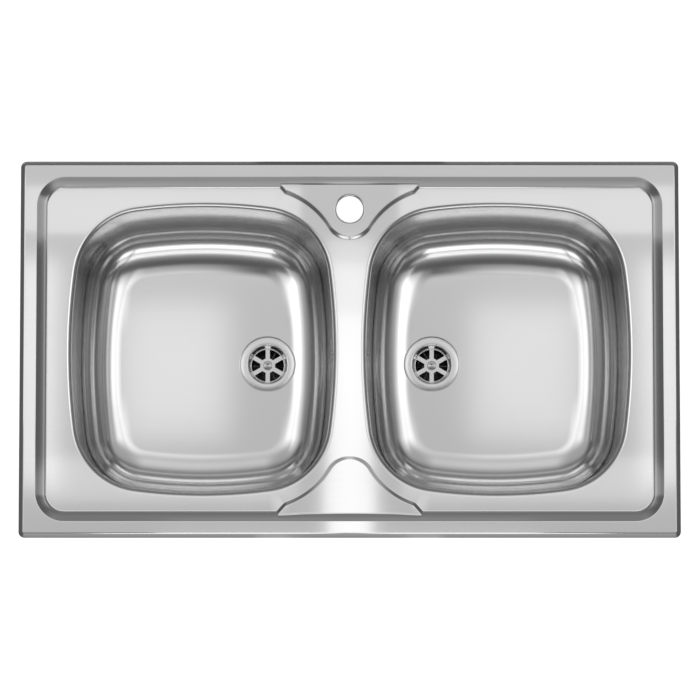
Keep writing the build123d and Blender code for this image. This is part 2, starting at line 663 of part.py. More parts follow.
right_bowl = Pos(bowl_x, 0, 0) * make_bowl()
save("right_bowl", right_bowl)
save("left_bowl", mirror(right_bowl, Plane.YZ))

# pieces of the left bowl, in place; the right bowl's are their mirror images
left_outer = Pos(-bowl_x, 0, 0) * bowl_volume(sheet)
left_drain = Pos(-drain_x, 0, 0)
gasket_inner = drain_hole_radius + gasket_gap
flat_half_width = bowl_opening_width / 2 - wall_inset(bowl_depth) - bottom_run
flat_half_depth = bowl_opening_depth / 2 - wall_inset(bowl_depth) - bottom_run
pad_near_x = -drain_x - flange_radius - pad_clear_of_drain
pad_far_x = -bowl_x - flat_half_width + pad_side_margin
left_pieces = {
    "strainer_cup": left_drain * make_strainer_cup(),
    "strainer_screw": left_drain * make_strainer_screw(),
    "flange_gasket": left_drain * ring(flange_radius - gasket_gap, gasket_inner, recess_floor_z,
                                       bowl_floor_z - cup_sheet),
    "body_gasket": left_drain * ring(body_flange_radius - gasket_gap, gasket_inner, body_top_z,
                                     recess_floor_z - sheet),
    "waste_body": left_drain * Rot(0, 0, 180) * make_waste_body(),
    "insert_nut": left_drain * make_insert_nut(),
    "overflow_gasket": make_overflow_gasket(left_outer),
    "overflow_housing": make_overflow_housing(),
    "overflow_screw": make_overflow_screw(),
    "overflow_pipe": make_pipe(),
    "pipe_nuts": make_pipe_nuts(),
    "damping_pad": Pos(pad_near_x, 0, bowl_floor_z - sheet) * Box(
        pad_near_x - pad_far_x, 2 * (flat_half_depth - pad_end_margin), pad_thickness,
        align=(Align.MAX, Align.CENTER, Align.MAX)),
}
for name, piece in left_pieces.items():
    solids = piece if isinstance(piece, list) else [piece]
    save(f"left_{name}", solids)
    save(f"right_{name}", [mirror(s, Plane.YZ) for s in solids])

seal_outer = skirt_width + seal_clearance
save("rim_seal", extrude(
    rim_outline(seal_outer, outer_corner_radius, 0)
    - rim_outline(seal_outer + seal_width, outer_corner_radius, 0), rim_height - sheet))

front_rail_length = 2 * (cutout_x - front_rail_inset)
side_rail_length = 2 * (cutout_y - side_rail_inset)
back_rail_length = cutout_x - back_rail_inset - back_rail_gap / 2
back_rail_x = (back_rail_gap + back_rail_length) / 2
back_clamp_x = clamp_x - back_rail_x
side_rail = rail(side_rail_length, (-clamp_y, clamp_y))
save("front_rail", Location((0, -rail_face_y, 0), (0, 0, 180)) * rail(front_rail_length, (-clamp_x, clamp_x)))
save("back_left_rail", Pos(-back_rail_x, rail_face_y, 0) * rail(back_rail_length, (-back_clamp_x,)))
save("back_right_rail", Pos(back_rail_x, rail_face_y, 0) * rail(back_rail_length, (back_clamp_x,)))
save("left_rail", Location((-rail_face_x, 0, 0), (0, 0, 90)) * side_rail)
save("right_rail", Location((rail_face_x, 0, 0), (0, 0, -90)) * side_rail)

save("clamp_brackets", [place * clamp_bracket() for place in clamp_places])
on_screw = Pos(0, bracket_sheet + bracket_screw_offset, 0)
for number, place in enumerate(clamp_places, 1):
    save(f"clamp_{number}_screw", place * on_screw * clamp_screw())
    save(f"clamp_{number}_nut", place * on_screw * clamp_nut())
    save(f"clamp_{number}_arm", place * on_screw * clamp_arm())
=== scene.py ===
import math

import bpy
import numpy as np
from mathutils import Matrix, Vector
from mathutils.geometry import delaunay_2d_cdt


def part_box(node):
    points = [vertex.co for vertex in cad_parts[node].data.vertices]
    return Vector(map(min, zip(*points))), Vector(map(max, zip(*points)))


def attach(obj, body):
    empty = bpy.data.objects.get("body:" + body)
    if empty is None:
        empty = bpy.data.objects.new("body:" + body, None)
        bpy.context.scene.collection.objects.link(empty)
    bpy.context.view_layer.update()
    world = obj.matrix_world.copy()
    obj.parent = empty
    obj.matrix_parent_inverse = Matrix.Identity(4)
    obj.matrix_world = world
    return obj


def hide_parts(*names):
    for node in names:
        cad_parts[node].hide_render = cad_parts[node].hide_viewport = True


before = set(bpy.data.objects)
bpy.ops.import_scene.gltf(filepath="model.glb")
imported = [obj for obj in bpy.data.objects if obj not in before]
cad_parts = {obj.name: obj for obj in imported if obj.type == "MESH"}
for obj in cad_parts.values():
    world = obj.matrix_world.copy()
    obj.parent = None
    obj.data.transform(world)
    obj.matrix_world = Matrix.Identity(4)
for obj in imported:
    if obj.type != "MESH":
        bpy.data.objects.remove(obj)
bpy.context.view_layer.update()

# ---------------------------------------------------------------- camera
# The photograph looks almost straight down on the sink through a long lens, from a little to the user's side.
# So the camera stands far off, and the bowls' walls show on every side.
camera_tilt = math.radians(7.7)          # from the vertical, towards the user
camera_distance = 8.0
frame_width = 0.9124                     # of the picture, measured on the deck
sensor_width = 36.0                      # millimetres
aim = Vector((0.0004, -0.0012, 0.0))

camera_data = bpy.data.cameras.new("camera")
camera_data.sensor_width = sensor_width
camera_data.lens = sensor_width * camera_distance / frame_width
camera_data.clip_end = 50
camera = bpy.data.objects.new("camera", camera_data)
camera.location = aim + camera_distance * Vector((0, -math.sin(camera_tilt), math.cos(camera_tilt)))
camera.rotation_euler = (camera_tilt, 0, 0)
bpy.context.scene.collection.objects.link(camera)
bpy.context.scene.camera = camera

# ---------------------------------------------------------------- deck
# One sheet of 0.8 mm stainless steel, pressed to a rim, a recess and two raised ledges, its edge folded down.
# Its two openings are rolled into short collars that the bowls are welded to. Satin finish from fine brushing.
mm = 0.001
sheet = 0.8 * mm
half_length = 430 * mm
half_depth = 247.5 * mm
edge_z = 1.2 * mm
rim_z = 6 * mm
deck_z = -1 * mm
weld_z = -15 * mm
skirt_run = 5.4 * mm
rim_run = 21.3 * mm
outer_corner = 8 * mm
recess_corner = 38 * mm
shoulder_bend = 2.6 * mm
# run and degrees of the slope from the rim to the recess, which is steeper in a narrow line at its foot
slope_parts = [(3.2 * mm, 29), (3.2 * mm, 27), (3.2 * mm, 25), (3.1 * mm, 22), (0.9 * mm, 42)]
rim_bend = 1.2 * mm
foot_bend = 0.8 * mm
ledge_rise = 2.6 * mm
ledge_run = 5.4 * mm
ledge_bend = 0.16                                # share of the flank that bends, at its top and foot each
# lines along the flank, as shares of its run from its middle
ledge_rows = (-0.65, -0.5, -0.44, -0.38, -0.34, -0.12, 0.12, 0.34, 0.38, 0.44, 0.5, 0.65)
front_ledge_dip = 0.5                            # share by which the front ledge is lower in its middle
ledge_tip = {1: 146.5 * mm, -1: 142.5 * mm}      # back ledge, front ledge
tip_radius = 31.3 * mm
flank_radius = 108.6 * mm
flank_x = 119.2 * mm
shoulder_x = 84 * mm
shoulder_angle = math.radians(48)
tap_hole = (0.0, 184.5 * mm)
tap_hole_radius = 17.5 * mm
tap_hole_roll = 2.4 * mm                         # width of the rounded edge round the hole
tap_hole_rows = (0, 0.03, 0.1, 0.22, 0.42, 0.7, 1, 1.4)      # rings round the hole, of that width
bowl_x = 192 * mm
opening = (177 * mm, 194 * mm)                   # half width and half depth
side_bulge = 825 * mm
end_bulge = 660 * mm
opening_corner = 96 * mm
edge_radius = 6.5 * mm
draft = math.radians(5)
steel_colour = (0.72, 0.72, 0.72)
steel_roughness = 0.15
brush_lines = (6.0, 900.0, 900.0)                # noise along the brushing and across it
brush_depth = 0.002


def bend(before, corner, after, radius, steps=6):
    """Points of the arc that rounds a corner of a profile."""
    p, c, q = (Vector(v) for v in (before, corner, after))
    a, b = (p - c).normalized(), (q - c).normalized()
    half = a.angle(b) / 2
    centre = c + (a + b).normalized() * radius / math.sin(half)
    start, end = c + a * radius / math.tan(half), c + b * radius / math.tan(half)
    turn = (start - centre).angle(end - centre)
    u = (start - centre).normalized()
    v = ((end - centre) - u * (end - centre).dot(u)).normalized()
    return [tuple(centre + radius * (u * math.cos(turn * i / steps) + v * math.sin(turn * i / steps)))
            for i in range(steps + 1)]


# (inset from the outer edge, height) of the folded edge and of the recess, each a line of short steps
edge_profile = [(0.0, edge_z)]
edge_profile += bend((0, edge_z), (skirt_run, rim_z), (rim_run, rim_z), shoulder_bend)
slope_line = [(rim_run, rim_z)]
for run, angle in slope_parts:
    slope_line.append((slope_line[-1][0] + run, slope_line[-1][1] - run * math.tan(math.radians(angle))))
squash = (rim_z - deck_z) / (rim_z - slope_line[-1][1])
slope_line = [(d, rim_z - (rim_z - z) * squash) for d, z in slope_line]
recess_profile = bend((skirt_run, rim_z), slope_line[0], slope_line[1], rim_bend, 4)
recess_profile += slope_line[1:-1]
recess_profile += bend(slope_line[-2], slope_line[-1], (3 * rim_run, deck_z), foot_bend, 4)


def rounded_distance(x, y, corner):
    """How far inside the sink's outline a point is, for an outline whose corners have that radius."""
    qx, qy = abs(x) - (half_length - corner), abs(y) - (half_depth - corner)
    outside = math.hypot(max(qx, 0), max(qy, 0))
    return corner - outside - min(max(qx, qy), 0)


def rounded_outline(inset, corner, spacing=14 * mm, corner_steps=18):
    """Points of the sink's rounded outline, inset from its edge. Corner is the radius at no inset."""
    radius = corner - inset
    cx, cy = half_length - corner, half_depth - corner
    points = []
    for quarter, (sx, sy) in enumerate(((1, 1), (-1, 1), (-1, -1), (1, -1))):
        for i in range(corner_steps + 1):
            a = math.radians(90 * (quarter + i / corner_steps))
            points.append((sx * cx + radius * math.cos(a), sy * cy + radius * math.sin(a)))
        ex, ey = points[-1]
        nx, ny = ((-ex, ey), (ex, -ey), (-ex, ey), (ex, -ey))[quarter]
        count = round(math.hypot(nx - ex, ny - ey) / spacing)
        points += [(ex + (nx - ex) * k / count, ey + (ny - ey) * k / count) for k in range(1, count)]
    return points


def ledge_frame(side):
    """Centres of a ledge's tip and flank arcs, and the point where the flank's arc ends."""
    tip = Vector((0, ledge_tip[side] + tip_radius))
    flank = Vector((flank_x, tip.y - math.sqrt((tip_radius + flank_radius) ** 2 - flank_x**2)))
    drop = math.sqrt(flank_radius**2 - (flank_x - shoulder_x) ** 2)
    return tip, flank, Vector((shoulder_x, flank.y + drop))


def ledge_distance(x, y, side):
    """How far inside a ledge's outline a point is, negative outside."""
    p = Vector((abs(x), y * side))
    tip, flank, shoulder = ledge_frame(side)
    across = flank - tip
    if across.x * (p - tip).y - across.y * (p - tip).x < 0 and (p - tip).y < 0:
        return tip_radius - (p - tip).length
    out = shoulder - flank
    if out.x * (p - flank).y - out.y * (p - flank).x > 0:
        return (p - flank).length - flank_radius
    along = Vector((math.cos(shoulder_angle), math.sin(shoulder_angle)))
    return along.x * (p - shoulder).y - along.y * (p - shoulder).x


def ledge_line(side, grow):
    """Points of a ledge's outline, moved inwards by grow, from one end to the other."""
    tip, flank, shoulder = ledge_frame(side)
    across = (flank - tip).normalized()
    steps = 26
    turn = math.atan2(across.y, across.x)
    right = [tip + (tip_radius - grow) * Vector((math.cos(a), math.sin(a)))
             for a in (-math.pi / 2 + (turn + math.pi / 2) * i / steps for i in range(steps + 1))]
    a0, a1 = turn + math.pi, math.atan2(shoulder.y - flank.y, shoulder.x - flank.x)
    right += [flank + (flank_radius + grow) * Vector((math.cos(a), math.sin(a)))
              for a in (a0 + (a1 - a0) * i / steps for i in range(1, steps + 1))]
    along = Vector((math.cos(shoulder_angle), math.sin(shoulder_angle)))
    right += [right[-1] + along * reach for reach in (4 * mm, 8 * mm, 12 * mm, 18 * mm)]
    line = [(-p.x, p.y) for p in reversed(right[1:])] + [tuple(p) for p in right]
    return [(x, y * side) for x, y in line]


def smooth_step(t):
    """From 0 to 1 with a soft start and end."""
    t = min(max(t, 0.0), 1.0)
    return t * t * (3 - 2 * t)


def flank_step(t):
    """From 0 to 1 along a straight flank with a short bend at either end."""
    t = min(max(t, 0.0), 1.0)
    straight = 1 - ledge_bend
    if t < ledge_bend:
        return t * t / (2 * ledge_bend) / straight
    if t > straight:
        return 1 - (1 - t) ** 2 / (2 * ledge_bend) / straight
    return (t - ledge_bend / 2) / straight


def ledge_top(x, side):
    """Height of a ledge's top. The front one dips a little in the middle."""
    dip = front_ledge_dip * (1 - min(1, (x / shoulder_x) ** 2)) if side < 0 else 0.0
    return ledge_rise * (1 - dip)


def soft_max(a, b, blend):
    """The larger of two heights, with their meeting line rounded."""
    gap = max(blend - abs(a - b), 0) / blend
    return max(a, b) + gap * gap * blend / 4


def deck_height(x, y):
    """Height of the deck's upper surface."""
    edge = np.interp(rounded_distance(x, y, outer_corner), *zip(*edge_profile))
    recess = np.interp(rounded_distance(x, y, recess_corner + rim_run), *zip(*recess_profile))
    z = edge + recess - rim_z
    side = 1 if y > 0 else -1
    if abs(x) < 2 * shoulder_x and abs(y) > 0.5 * half_depth:
        step = flank_step(ledge_distance(x, y, side) / ledge_run + 0.5)
        if step > 0:
            z = soft_max(z, deck_z + ledge_top(x, side) * step, 0.5 * mm * step)
    from_hole = math.hypot(x - tap_hole[0], y - tap_hole[1]) - tap_hole_radius
    if from_hole < tap_hole_roll:
        z -= tap_hole_roll * (1 - math.sqrt(max(0, 1 - (1 - from_hole / tap_hole_roll) ** 2)))
    return z


def bowl_ring(inset, per_corner=30, per_side=44, per_end=40):
    """Points of a bowl's outline, inset from its opening, about the bowl's centre."""
    half_w, half_d = opening
    side = Vector((half_w - side_bulge, 0))
    end = Vector((0, half_d - end_bulge))
    to_side, to_end = side_bulge - opening_corner, end_bulge - opening_corner
    apart = (end - side).length
    along = (to_side**2 - to_end**2 + apart**2) / (2 * apart)
    across = math.sqrt(to_side**2 - along**2)
    u = (end - side).normalized()
    corner = side + along * u + across * Vector((-u.y, u.x))
    side_turn = math.atan2(corner.y, corner.x - side.x)
    end_turn = math.atan2(corner.x, corner.y - end.y)
    arcs = []
    for k, (sx, sy) in enumerate(((1, 1), (-1, 1), (-1, -1), (1, -1))):
        flip = 1 if k % 2 == 0 else -1
        quarter = [(Vector((side.x, 0)), side_bulge, 0, side_turn, per_side // 2),
                   (corner, opening_corner, side_turn, math.pi / 2 - end_turn, per_corner),
                   (Vector((0, end.y)), end_bulge, math.pi / 2 - end_turn, math.pi / 2, per_end // 2)]
        points = []
        for centre, radius, a0, a1, steps in quarter:
            for i in range(steps):
                a = a0 + (a1 - a0) * i / steps
                r = radius - inset
                points.append((sx * (centre.x + r * math.cos(a)), sy * (centre.y + r * math.sin(a))))
        last = quarter[-1]
        points.append((sx * 0.0, sy * (last[0].y + last[1] - inset)))
        if flip < 0:
            points.reverse()
        arcs += points[:-1]
    return arcs


# (inset, height) of the rolled edge and of the collar below it
roll_steps = 12
roll_angles = [(math.pi / 2 - draft) * i / roll_steps for i in range(roll_steps + 1)]
roll_profile = [(edge_radius * math.sin(a), deck_z - edge_radius * (1 - math.cos(a))) for a in roll_angles]


def wall_inset(z):
    """Inset of the straight wall at a height."""
    inset, height = roll_profile[-1]
    return inset + (height - z) * math.tan(draft)


collar_profile = roll_profile + [(wall_inset(z), z) for z in (-9.5 * mm, -12 * mm, weld_z)]


def mesh_from(name, points, faces):
    """Smooth-shaded mesh of points and faces."""
    mesh = bpy.data.meshes.new(name)
    mesh.from_pydata(points, [], faces)
    mesh.validate()
    mesh.update()
    for polygon in mesh.polygons:
        polygon.use_smooth = True
    return mesh


def thicken(points, faces, thickness):
    """Adds the underside of an open skin, and its edges, as faces of their own."""
    mesh = mesh_from("skin", points, faces)
    normals = np.empty(len(mesh.vertices) * 3)
    mesh.vertices.foreach_get("normal", normals)
    normals = normals.reshape(-1, 3)
    upper = np.array(points)
    lower = upper - thickness * normals
    count = len(upper)
    sides = dict.fromkeys((a, b) for face in faces for a, b in zip(face, face[1:] + face[:1]))
    open_edges = [(a, b) for a, b in sides if (b, a) not in sides]
    all_points = upper.tolist() + lower.tolist()
    all_faces = [list(f) for f in faces] + [[v + count for v in reversed(f)] for f in faces]
    all_faces += [[b, a, a + count, b + count] for a, b in open_edges]
    bpy.data.meshes.remove(mesh)
    whole = mesh_from("thick", all_points, all_faces)
    sharp = {frozenset(e) for e in open_edges}
    sharp |= {frozenset((a + count, b + count)) for a, b in open_edges}
    for edge in whole.edges:
        edge.use_edge_sharp = frozenset(edge.vertices) in sharp
    return whole


def fill_between(loops, lines, inside):
    """Flat triangles between closed loops and open lines, kept where inside(x, y) is true.
    Also gives, for each loop, which of the flat points are its own."""
    points, edges = [], []
    for loop in loops:
        start = len(points)
        points += loop
        edges += [(start + i, start + (i + 1) % len(loop)) for i in range(len(loop))]
    for line in lines:
        start = len(points)
        points += line
        edges += [(start + i, start + i + 1) for i in range(len(line) - 1)]
    flat, _, triangles, sources, *_ = delaunay_2d_cdt([Vector(p) for p in points], edges, [], 0, 1e-7)
    became = {given: i for i, several in enumerate(sources) for given in several}
    loop_points, start = [], 0
    for loop in loops:
        loop_points.append([became[start + i] for i in range(len(loop))])
        start += len(loop)
    kept = [list(t) for t in triangles if inside(sum(flat[i].x for i in t) / 3, sum(flat[i].y for i in t) / 3)]
    return flat, kept, loop_points


def in_outline(loop):
    """A test whether a point lies in a closed outline."""
    ring = np.array(loop)
    nxt = np.roll(ring, -1, axis=0)

    def test(x, y):
        crosses = (ring[:, 1] > y) != (nxt[:, 1] > y)
        reach = ring[:, 0] + (y - ring[:, 1]) * (nxt[:, 0] - ring[:, 0]) / (nxt[:, 1] - ring[:, 1] + 1e-30)
        return int(np.count_nonzero(crosses & (x < reach))) % 2 == 1
    return test


def circle(radius, centre=(0.0, 0.0), steps=72):
    return [(centre[0] + radius * math.cos(2 * math.pi * i / steps),
             centre[1] + radius * math.sin(2 * math.pi * i / steps)) for i in range(steps)]


def join_rings(faces, previous, current):
    """Adds the faces between two closed rings of equally many points."""
    for i in range(len(previous)):
        j = (i + 1) % len(previous)
        faces.append([previous[i], previous[j], current[j], current[i]])


def make_deck():
    """Deck from its folded edge to the collars round its openings, as one triangulated sheet."""
    guard = 1.2 * mm                 # flat strip kept beside each line of bends
    edge_rings = [rounded_outline(d, outer_corner, corner_steps=8) for d, _ in edge_profile]
    edge_rings.append(rounded_outline(edge_profile[-1][0] + guard, edge_profile[-1][0] + guard + 2 * mm,
                                      corner_steps=8))
    recess_base = recess_corner + rim_run
    insets = [recess_profile[0][0] - guard] + [d for d, _ in recess_profile] + [recess_profile[-1][0] + guard]
    meet_heights = (ledge_rise, ledge_rise * (1 - front_ledge_dip / 2), ledge_rise * (1 - front_ledge_dip))
    insets += [float(np.interp(-deck_z - h, [-z for _, z in recess_profile], [d for d, _ in recess_profile]))
               for h in meet_heights]
    recess_rings = [rounded_outline(d, recess_base) for d in insets]
    openings = [[(x + side * bowl_x, y) for x, y in bowl_ring(inset)]
                for side in (-1, 1) for inset in (-guard, 0.0)]
    turns = 64
    holes = [circle(tap_hole_radius + tap_hole_roll * t, tap_hole, turns) for t in tap_hole_rows]
    lines = [ledge_line(side, ledge_run * t) for side in (1, -1) for t in ledge_rows]
    bowl_tests = [in_outline(openings[1]), in_outline(openings[3])]
    edge_test = in_outline(edge_rings[0])

    def kept(x, y):
        if math.hypot(x - tap_hole[0], y - tap_hole[1]) < tap_hole_radius * math.cos(math.pi / turns):
            return False
        return edge_test(x, y) and not any(test(x, y) for test in bowl_tests)

    loops = openings + edge_rings + recess_rings + holes
    flat, faces, loop_points = fill_between(loops, lines, kept)
    points = [(p.x, p.y, deck_height(p.x, p.y)) for p in flat]
    for side, previous in ((-1, loop_points[1]), (1, loop_points[3])):
        for inset, z in collar_profile[1:]:
            start = len(points)
            ring = bowl_ring(inset)
            points += [(x + side * bowl_x, y, z) for x, y in ring]
            current = list(range(start, start + len(ring)))
            join_rings(faces, previous, current)
            previous = current
    return thicken(points, faces, sheet)


def add_piece(name, mesh, body, replaced, material):
    """Puts a piece on its body, in the place of the nodes that it replaces."""
    piece = bpy.data.objects.new(name, mesh)
    bpy.context.scene.collection.objects.link(piece)
    mesh.materials.clear()
    mesh.materials.append(material)
    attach(piece, body)
    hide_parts(*replaced)


def new_material(name):
    material = bpy.data.materials.new(name)
    material.use_nodes = True
    tree = material.node_tree
    return material, tree.nodes, tree.links, tree.nodes["Principled BSDF"]


def noise(nodes, links, place, scale, detail):
    grain = nodes.new("ShaderNodeTexNoise")
    grain.inputs["Scale"].default_value = scale
    grain.inputs["Detail"].default_value = detail
    links.new(place, grain.inputs["Vector"])
    return grain.outputs["Fac"]


def roughen(nodes, links, shader, grain, low, high, span=(0.0, 1.0)):
    """Lets a noise, over a span of its values, move the roughness between two values."""
    between = nodes.new("ShaderNodeMapRange")
    for socket, value in zip(("From Min", "From Max", "To Min", "To Max"), (*span, low, high)):
        between.inputs[socket].default_value = value
    links.new(grain, between.inputs["Value"])
    links.new(between.outputs["Result"], shader.inputs["Roughness"])


def tint(nodes, links, shader, grain, colour, share):
    """Lets a noise make the colour darker and lighter by a share."""
    mix = nodes.new("ShaderNodeMix")
    mix.data_type = "RGBA"
    mix.inputs["A"].default_value = (*(c * (1 - share) for c in colour), 1)
    mix.inputs["B"].default_value = (*(min(1, c * (1 + share)) for c in colour), 1)
    links.new(grain, mix.inputs["Factor"])
    links.new(mix.outputs["Result"], shader.inputs["Base Color"])


def relief(nodes, links, shader, grain, depth):
    """Lets a noise roughen the surface's relief."""
    bump = nodes.new("ShaderNodeBump")
    bump.inputs["Strength"].default_value = depth
    bump.inputs["Distance"].default_value = 1 * mm
    links.new(grain, bump.inputs["Height"])
    links.new(bump.outputs["Normal"], shader.inputs["Normal"])


def brushed_steel(name, colour, roughness):
    """Satin stainless steel: fine brush lines along one way, and a slow unevenness of the rolled sheet."""
    material, nodes, links, shader = new_material(name)
    shader.inputs["Metallic"].default_value = 1.0
    place = nodes.new("ShaderNodeTexCoord").outputs["Object"]
    stretch = nodes.new("ShaderNodeMapping")
    stretch.inputs["Scale"].default_value = brush_lines
    links.new(place, stretch.inputs["Vector"])
    lines = noise(nodes, links, stretch.outputs["Vector"], 1.0, 3.0)
    roughen(nodes, links, shader, lines, roughness - 0.015, roughness + 0.015, (0.25, 0.75))
    tint(nodes, links, shader, noise(nodes, links, place, 9.0, 2.0), colour, 0.03)
    relief(nodes, links, shader, lines, brush_depth)
    return material


sink_steel = brushed_steel("satin_stainless_steel", steel_colour, steel_roughness)
add_piece("deck_sheet", make_deck(), "sink", ["deck"], sink_steel)

# ---------------------------------------------------------------- bowls
# Two drawn bowls of the same sheet, welded under the deck's collars and ground smooth at the seam. Each has a
# dished seat with a hole for its waste, and four upright overflow slots in the wall beside the other bowl.
floor_z = deck_z - 150 * mm
bottom_radius = 50 * mm
drain_offset = 83 * mm
drain_seat_radius = 36.4 * mm
drain_seat_depth = 2.4 * mm
drain_hole_radius = 27.5 * mm
overflow_z = deck_z - 30 * mm
overflow_slots = 4
overflow_pitch = 10 * mm
overflow_slot = (3.4 * mm, 14 * mm)              # width and height
overflow_screw_hole = 2.2 * mm
wall_top_z = -18 * mm

# (inset, height) from the weld down the wall and round the bottom's large radius to the flat
tangent = bottom_radius * math.tan((math.pi / 2 - draft) / 2)
sharp_inset = wall_inset(floor_z)
fillet_start_z = floor_z + tangent * math.cos(draft)
centre_inset = sharp_inset + tangent
centre_z = floor_z + bottom_radius
bottom_steps = 30
wall_rows = 12
bowl_profile = [(wall_inset(weld_z), weld_z)]
bowl_profile += [(wall_inset(z), z) for z in (wall_top_z + (fillet_start_z - wall_top_z) * i / wall_rows
                                              for i in range(wall_rows))]
bowl_profile += [(centre_inset - bottom_radius * math.sin(a), centre_z - bottom_radius * math.cos(a))
                 for a in ((math.pi / 2 - draft) * (1 - i / bottom_steps) for i in range(bottom_steps + 1))]
# towards the front and the back the radius runs out more softly, from one inset to the other
soft_start = centre_inset - 15 * mm
soft_end = centre_inset + 9 * mm
soft_from_y, soft_full_y = 34 * mm, 124 * mm


def bottom_height(x, y, side):
    """Height of a bowl's bottom near its drain, where the large radius towards the other bowl begins."""
    towards = bowl_x - side * x                      # from the bowl's centre towards the other bowl
    inset = side_bulge - math.hypot(towards + side_bulge - opening[0], y)
    out = max(0.0, centre_inset - inset)
    return centre_z - math.sqrt(bottom_radius**2 - out**2)


def soft_lift(inset, y, z):
    """How much the softer run-out lifts a point of the bowl."""
    start_slope = math.tan(math.asin((centre_inset - soft_start) / bottom_radius))
    at = min(max(inset, soft_start), soft_end)
    arc = centre_z - math.sqrt(bottom_radius**2 - max(0.0, centre_inset - at)**2) - floor_z
    lift = start_slope * (soft_end - at)**2 / (2 * (soft_end - soft_start)) - arc
    fade = min(1.0, max(0.0, (weld_z - z) / (weld_z - fillet_start_z)))
    return lift * fade * smooth_step((abs(y) - soft_from_y) / (soft_full_y - soft_from_y))


def make_bowl(side):
    """Bowl of the left (-1) or right (1) side. Its drain is nearer to the other bowl."""
    points, faces = [], []
    previous = None
    low_zone = 16 * mm                               # the rings this near to the flat are triangulated with it
    low_rings = [k for k, (inset, _) in enumerate(bowl_profile) if centre_inset - inset < low_zone]
    for inset, z in bowl_profile[:low_rings[0] + 1]:
        ring = bowl_ring(inset)
        start = len(points)
        points += [(x + side * bowl_x, y, z + soft_lift(inset, y, z)) for x, y in ring]
        current = list(range(start, start + len(ring)))
        if previous:
            join_rings(faces, previous, current)
        previous = current
    guard = 2 * mm                                   # flat strip kept beside the softer run-out
    drain, drain_steps = (side * (bowl_x - drain_offset), 0.0), 144
    # radius and depth of the drain's dished seat, from the flat inwards
    seat_edge = 0.8 * mm
    seat = [(drain_seat_radius + 1.6 * seat_edge, 0.0), (drain_seat_radius + seat_edge, 0.0),
            (drain_seat_radius + 0.3 * seat_edge, 0.25 * seat_edge), (drain_seat_radius, seat_edge),
            (drain_seat_radius, drain_seat_depth), (drain_hole_radius, drain_seat_depth)]
    soft_steps = 7
    levels = [bowl_profile[k] for k in low_rings]
    levels += [(centre_inset + (soft_end - centre_inset) * k / soft_steps, floor_z)
               for k in range(1, soft_steps + 1)]
    levels += [(soft_end + guard, floor_z)]
    loops = [[(x + side * bowl_x, y) for x, y in bowl_ring(inset)] for inset, _ in levels]
    loops += [circle(r, drain, drain_steps) for r, _ in seat[:2]]
    in_bottom = in_outline(loops[0])
    hole = seat[1][0] * math.cos(math.pi / drain_steps)
    flat, triangles, loop_points = fill_between(
        loops, [], lambda x, y: in_bottom(x, y) and math.hypot(x - drain[0], y - drain[1]) > hole)
    heights = {i: z + soft_lift(inset, flat[i].y, z)
               for (inset, z), loop in zip(levels, loop_points) for i in loop}
    used = {i for t in triangles for i in t}
    number = dict(zip(loop_points[0], previous))
    for i, p in enumerate(flat):
        if i not in number and i in used:
            number[i] = len(points)
            near_drain = math.hypot(p.x - drain[0], p.y - drain[1]) < seat[0][0] + 0.01 * mm
            points.append((p.x, p.y, bottom_height(p.x, p.y, side) if near_drain else heights[i]))
    faces += [[number[i] for i in t] for t in triangles]
    previous = [number[i] for i in loop_points[-1]]
    for radius, depth in seat[2:]:
        begin = len(points)
        points += [(x, y, floor_z - depth) for x, y in circle(radius, drain, drain_steps)]
        current = list(range(begin, len(points)))
        join_rings(faces, previous, current)
        previous = current
    return thicken(points, faces, sheet)


def skin_through(rings, ends=True):
    """Skin through rings of equally many points, closed by flat ends or by joining the last ring to the first."""
    count = len(rings[0])
    points = [p for ring in rings for p in ring]
    faces = []
    for k in range(len(rings) - (1 if ends else 0)):
        a, b = k * count, (k + 1) % len(rings) * count
        join_rings(faces, range(a, a + count), range(b, b + count))
    if ends:
        faces += [list(range(count))[::-1], list(range(len(points) - count, len(points)))]
    return points, faces


def crisp(mesh, angle=32):
    """Keeps the edges sharp where faces meet at more than an angle in degrees."""
    mesh.set_sharp_from_angle(angle=math.radians(angle))
    return mesh


def joined(name, *skins):
    """One mesh of several skins."""
    points, faces = [], []
    for skin_points, skin_faces in skins:
        start = len(points)
        points += skin_points
        faces += [[v + start for v in face] for face in skin_faces]
    return crisp(mesh_from(name, points, faces))


def cut_overflow(shell, side):
    """Punches the overflow's slots and its screw's hole through a bowl's wall."""
    wall_x = side * (bowl_x - opening[0] + wall_inset(overflow_z))
    width, height = overflow_slot
    punch_reach = 5 * mm                             # to either side of the wall
    outlines = []
    for k in range(overflow_slots):
        y0 = overflow_pitch * (k - (overflow_slots - 1) / 2)
        arc = [math.pi * i / 12 for i in range(13)]
        reach = (height - width) / 2
        outlines.append([(y0 + width / 2 * math.cos(a), reach + width / 2 * math.sin(a)) for a in arc]
                        + [(y0 - width / 2 * math.cos(a), -reach - width / 2 * math.sin(a)) for a in arc])
    outlines.append(circle(overflow_screw_hole, steps=32))
    punches = [skin_through([[(x, y, overflow_z + z) for y, z in outline]
                             for x in (wall_x - punch_reach, wall_x + punch_reach)]) for outline in outlines]
    bowl = bpy.data.objects.new("bowl", shell)
    punch = bpy.data.objects.new("punch", joined("punch", *punches))
    for piece in (bowl, punch):
        bpy.context.scene.collection.objects.link(piece)
    cut = bowl.modifiers.new("slots", "BOOLEAN")
    cut.operation, cut.solver, cut.object = "DIFFERENCE", "EXACT", punch
    bpy.context.view_layer.update()
    shell = bpy.data.meshes.new_from_object(bowl.evaluated_get(bpy.context.evaluated_depsgraph_get()))
    for piece in (bowl, punch):
        bpy.data.objects.remove(piece)
    return crisp(shell, 40)


for side, name in ((-1, "left"), (1, "right")):
    add_piece(f"{name}_bowl_shell", cut_overflow(make_bowl(side), side), "sink",
              [f"{name}_bowl"], sink_steel)

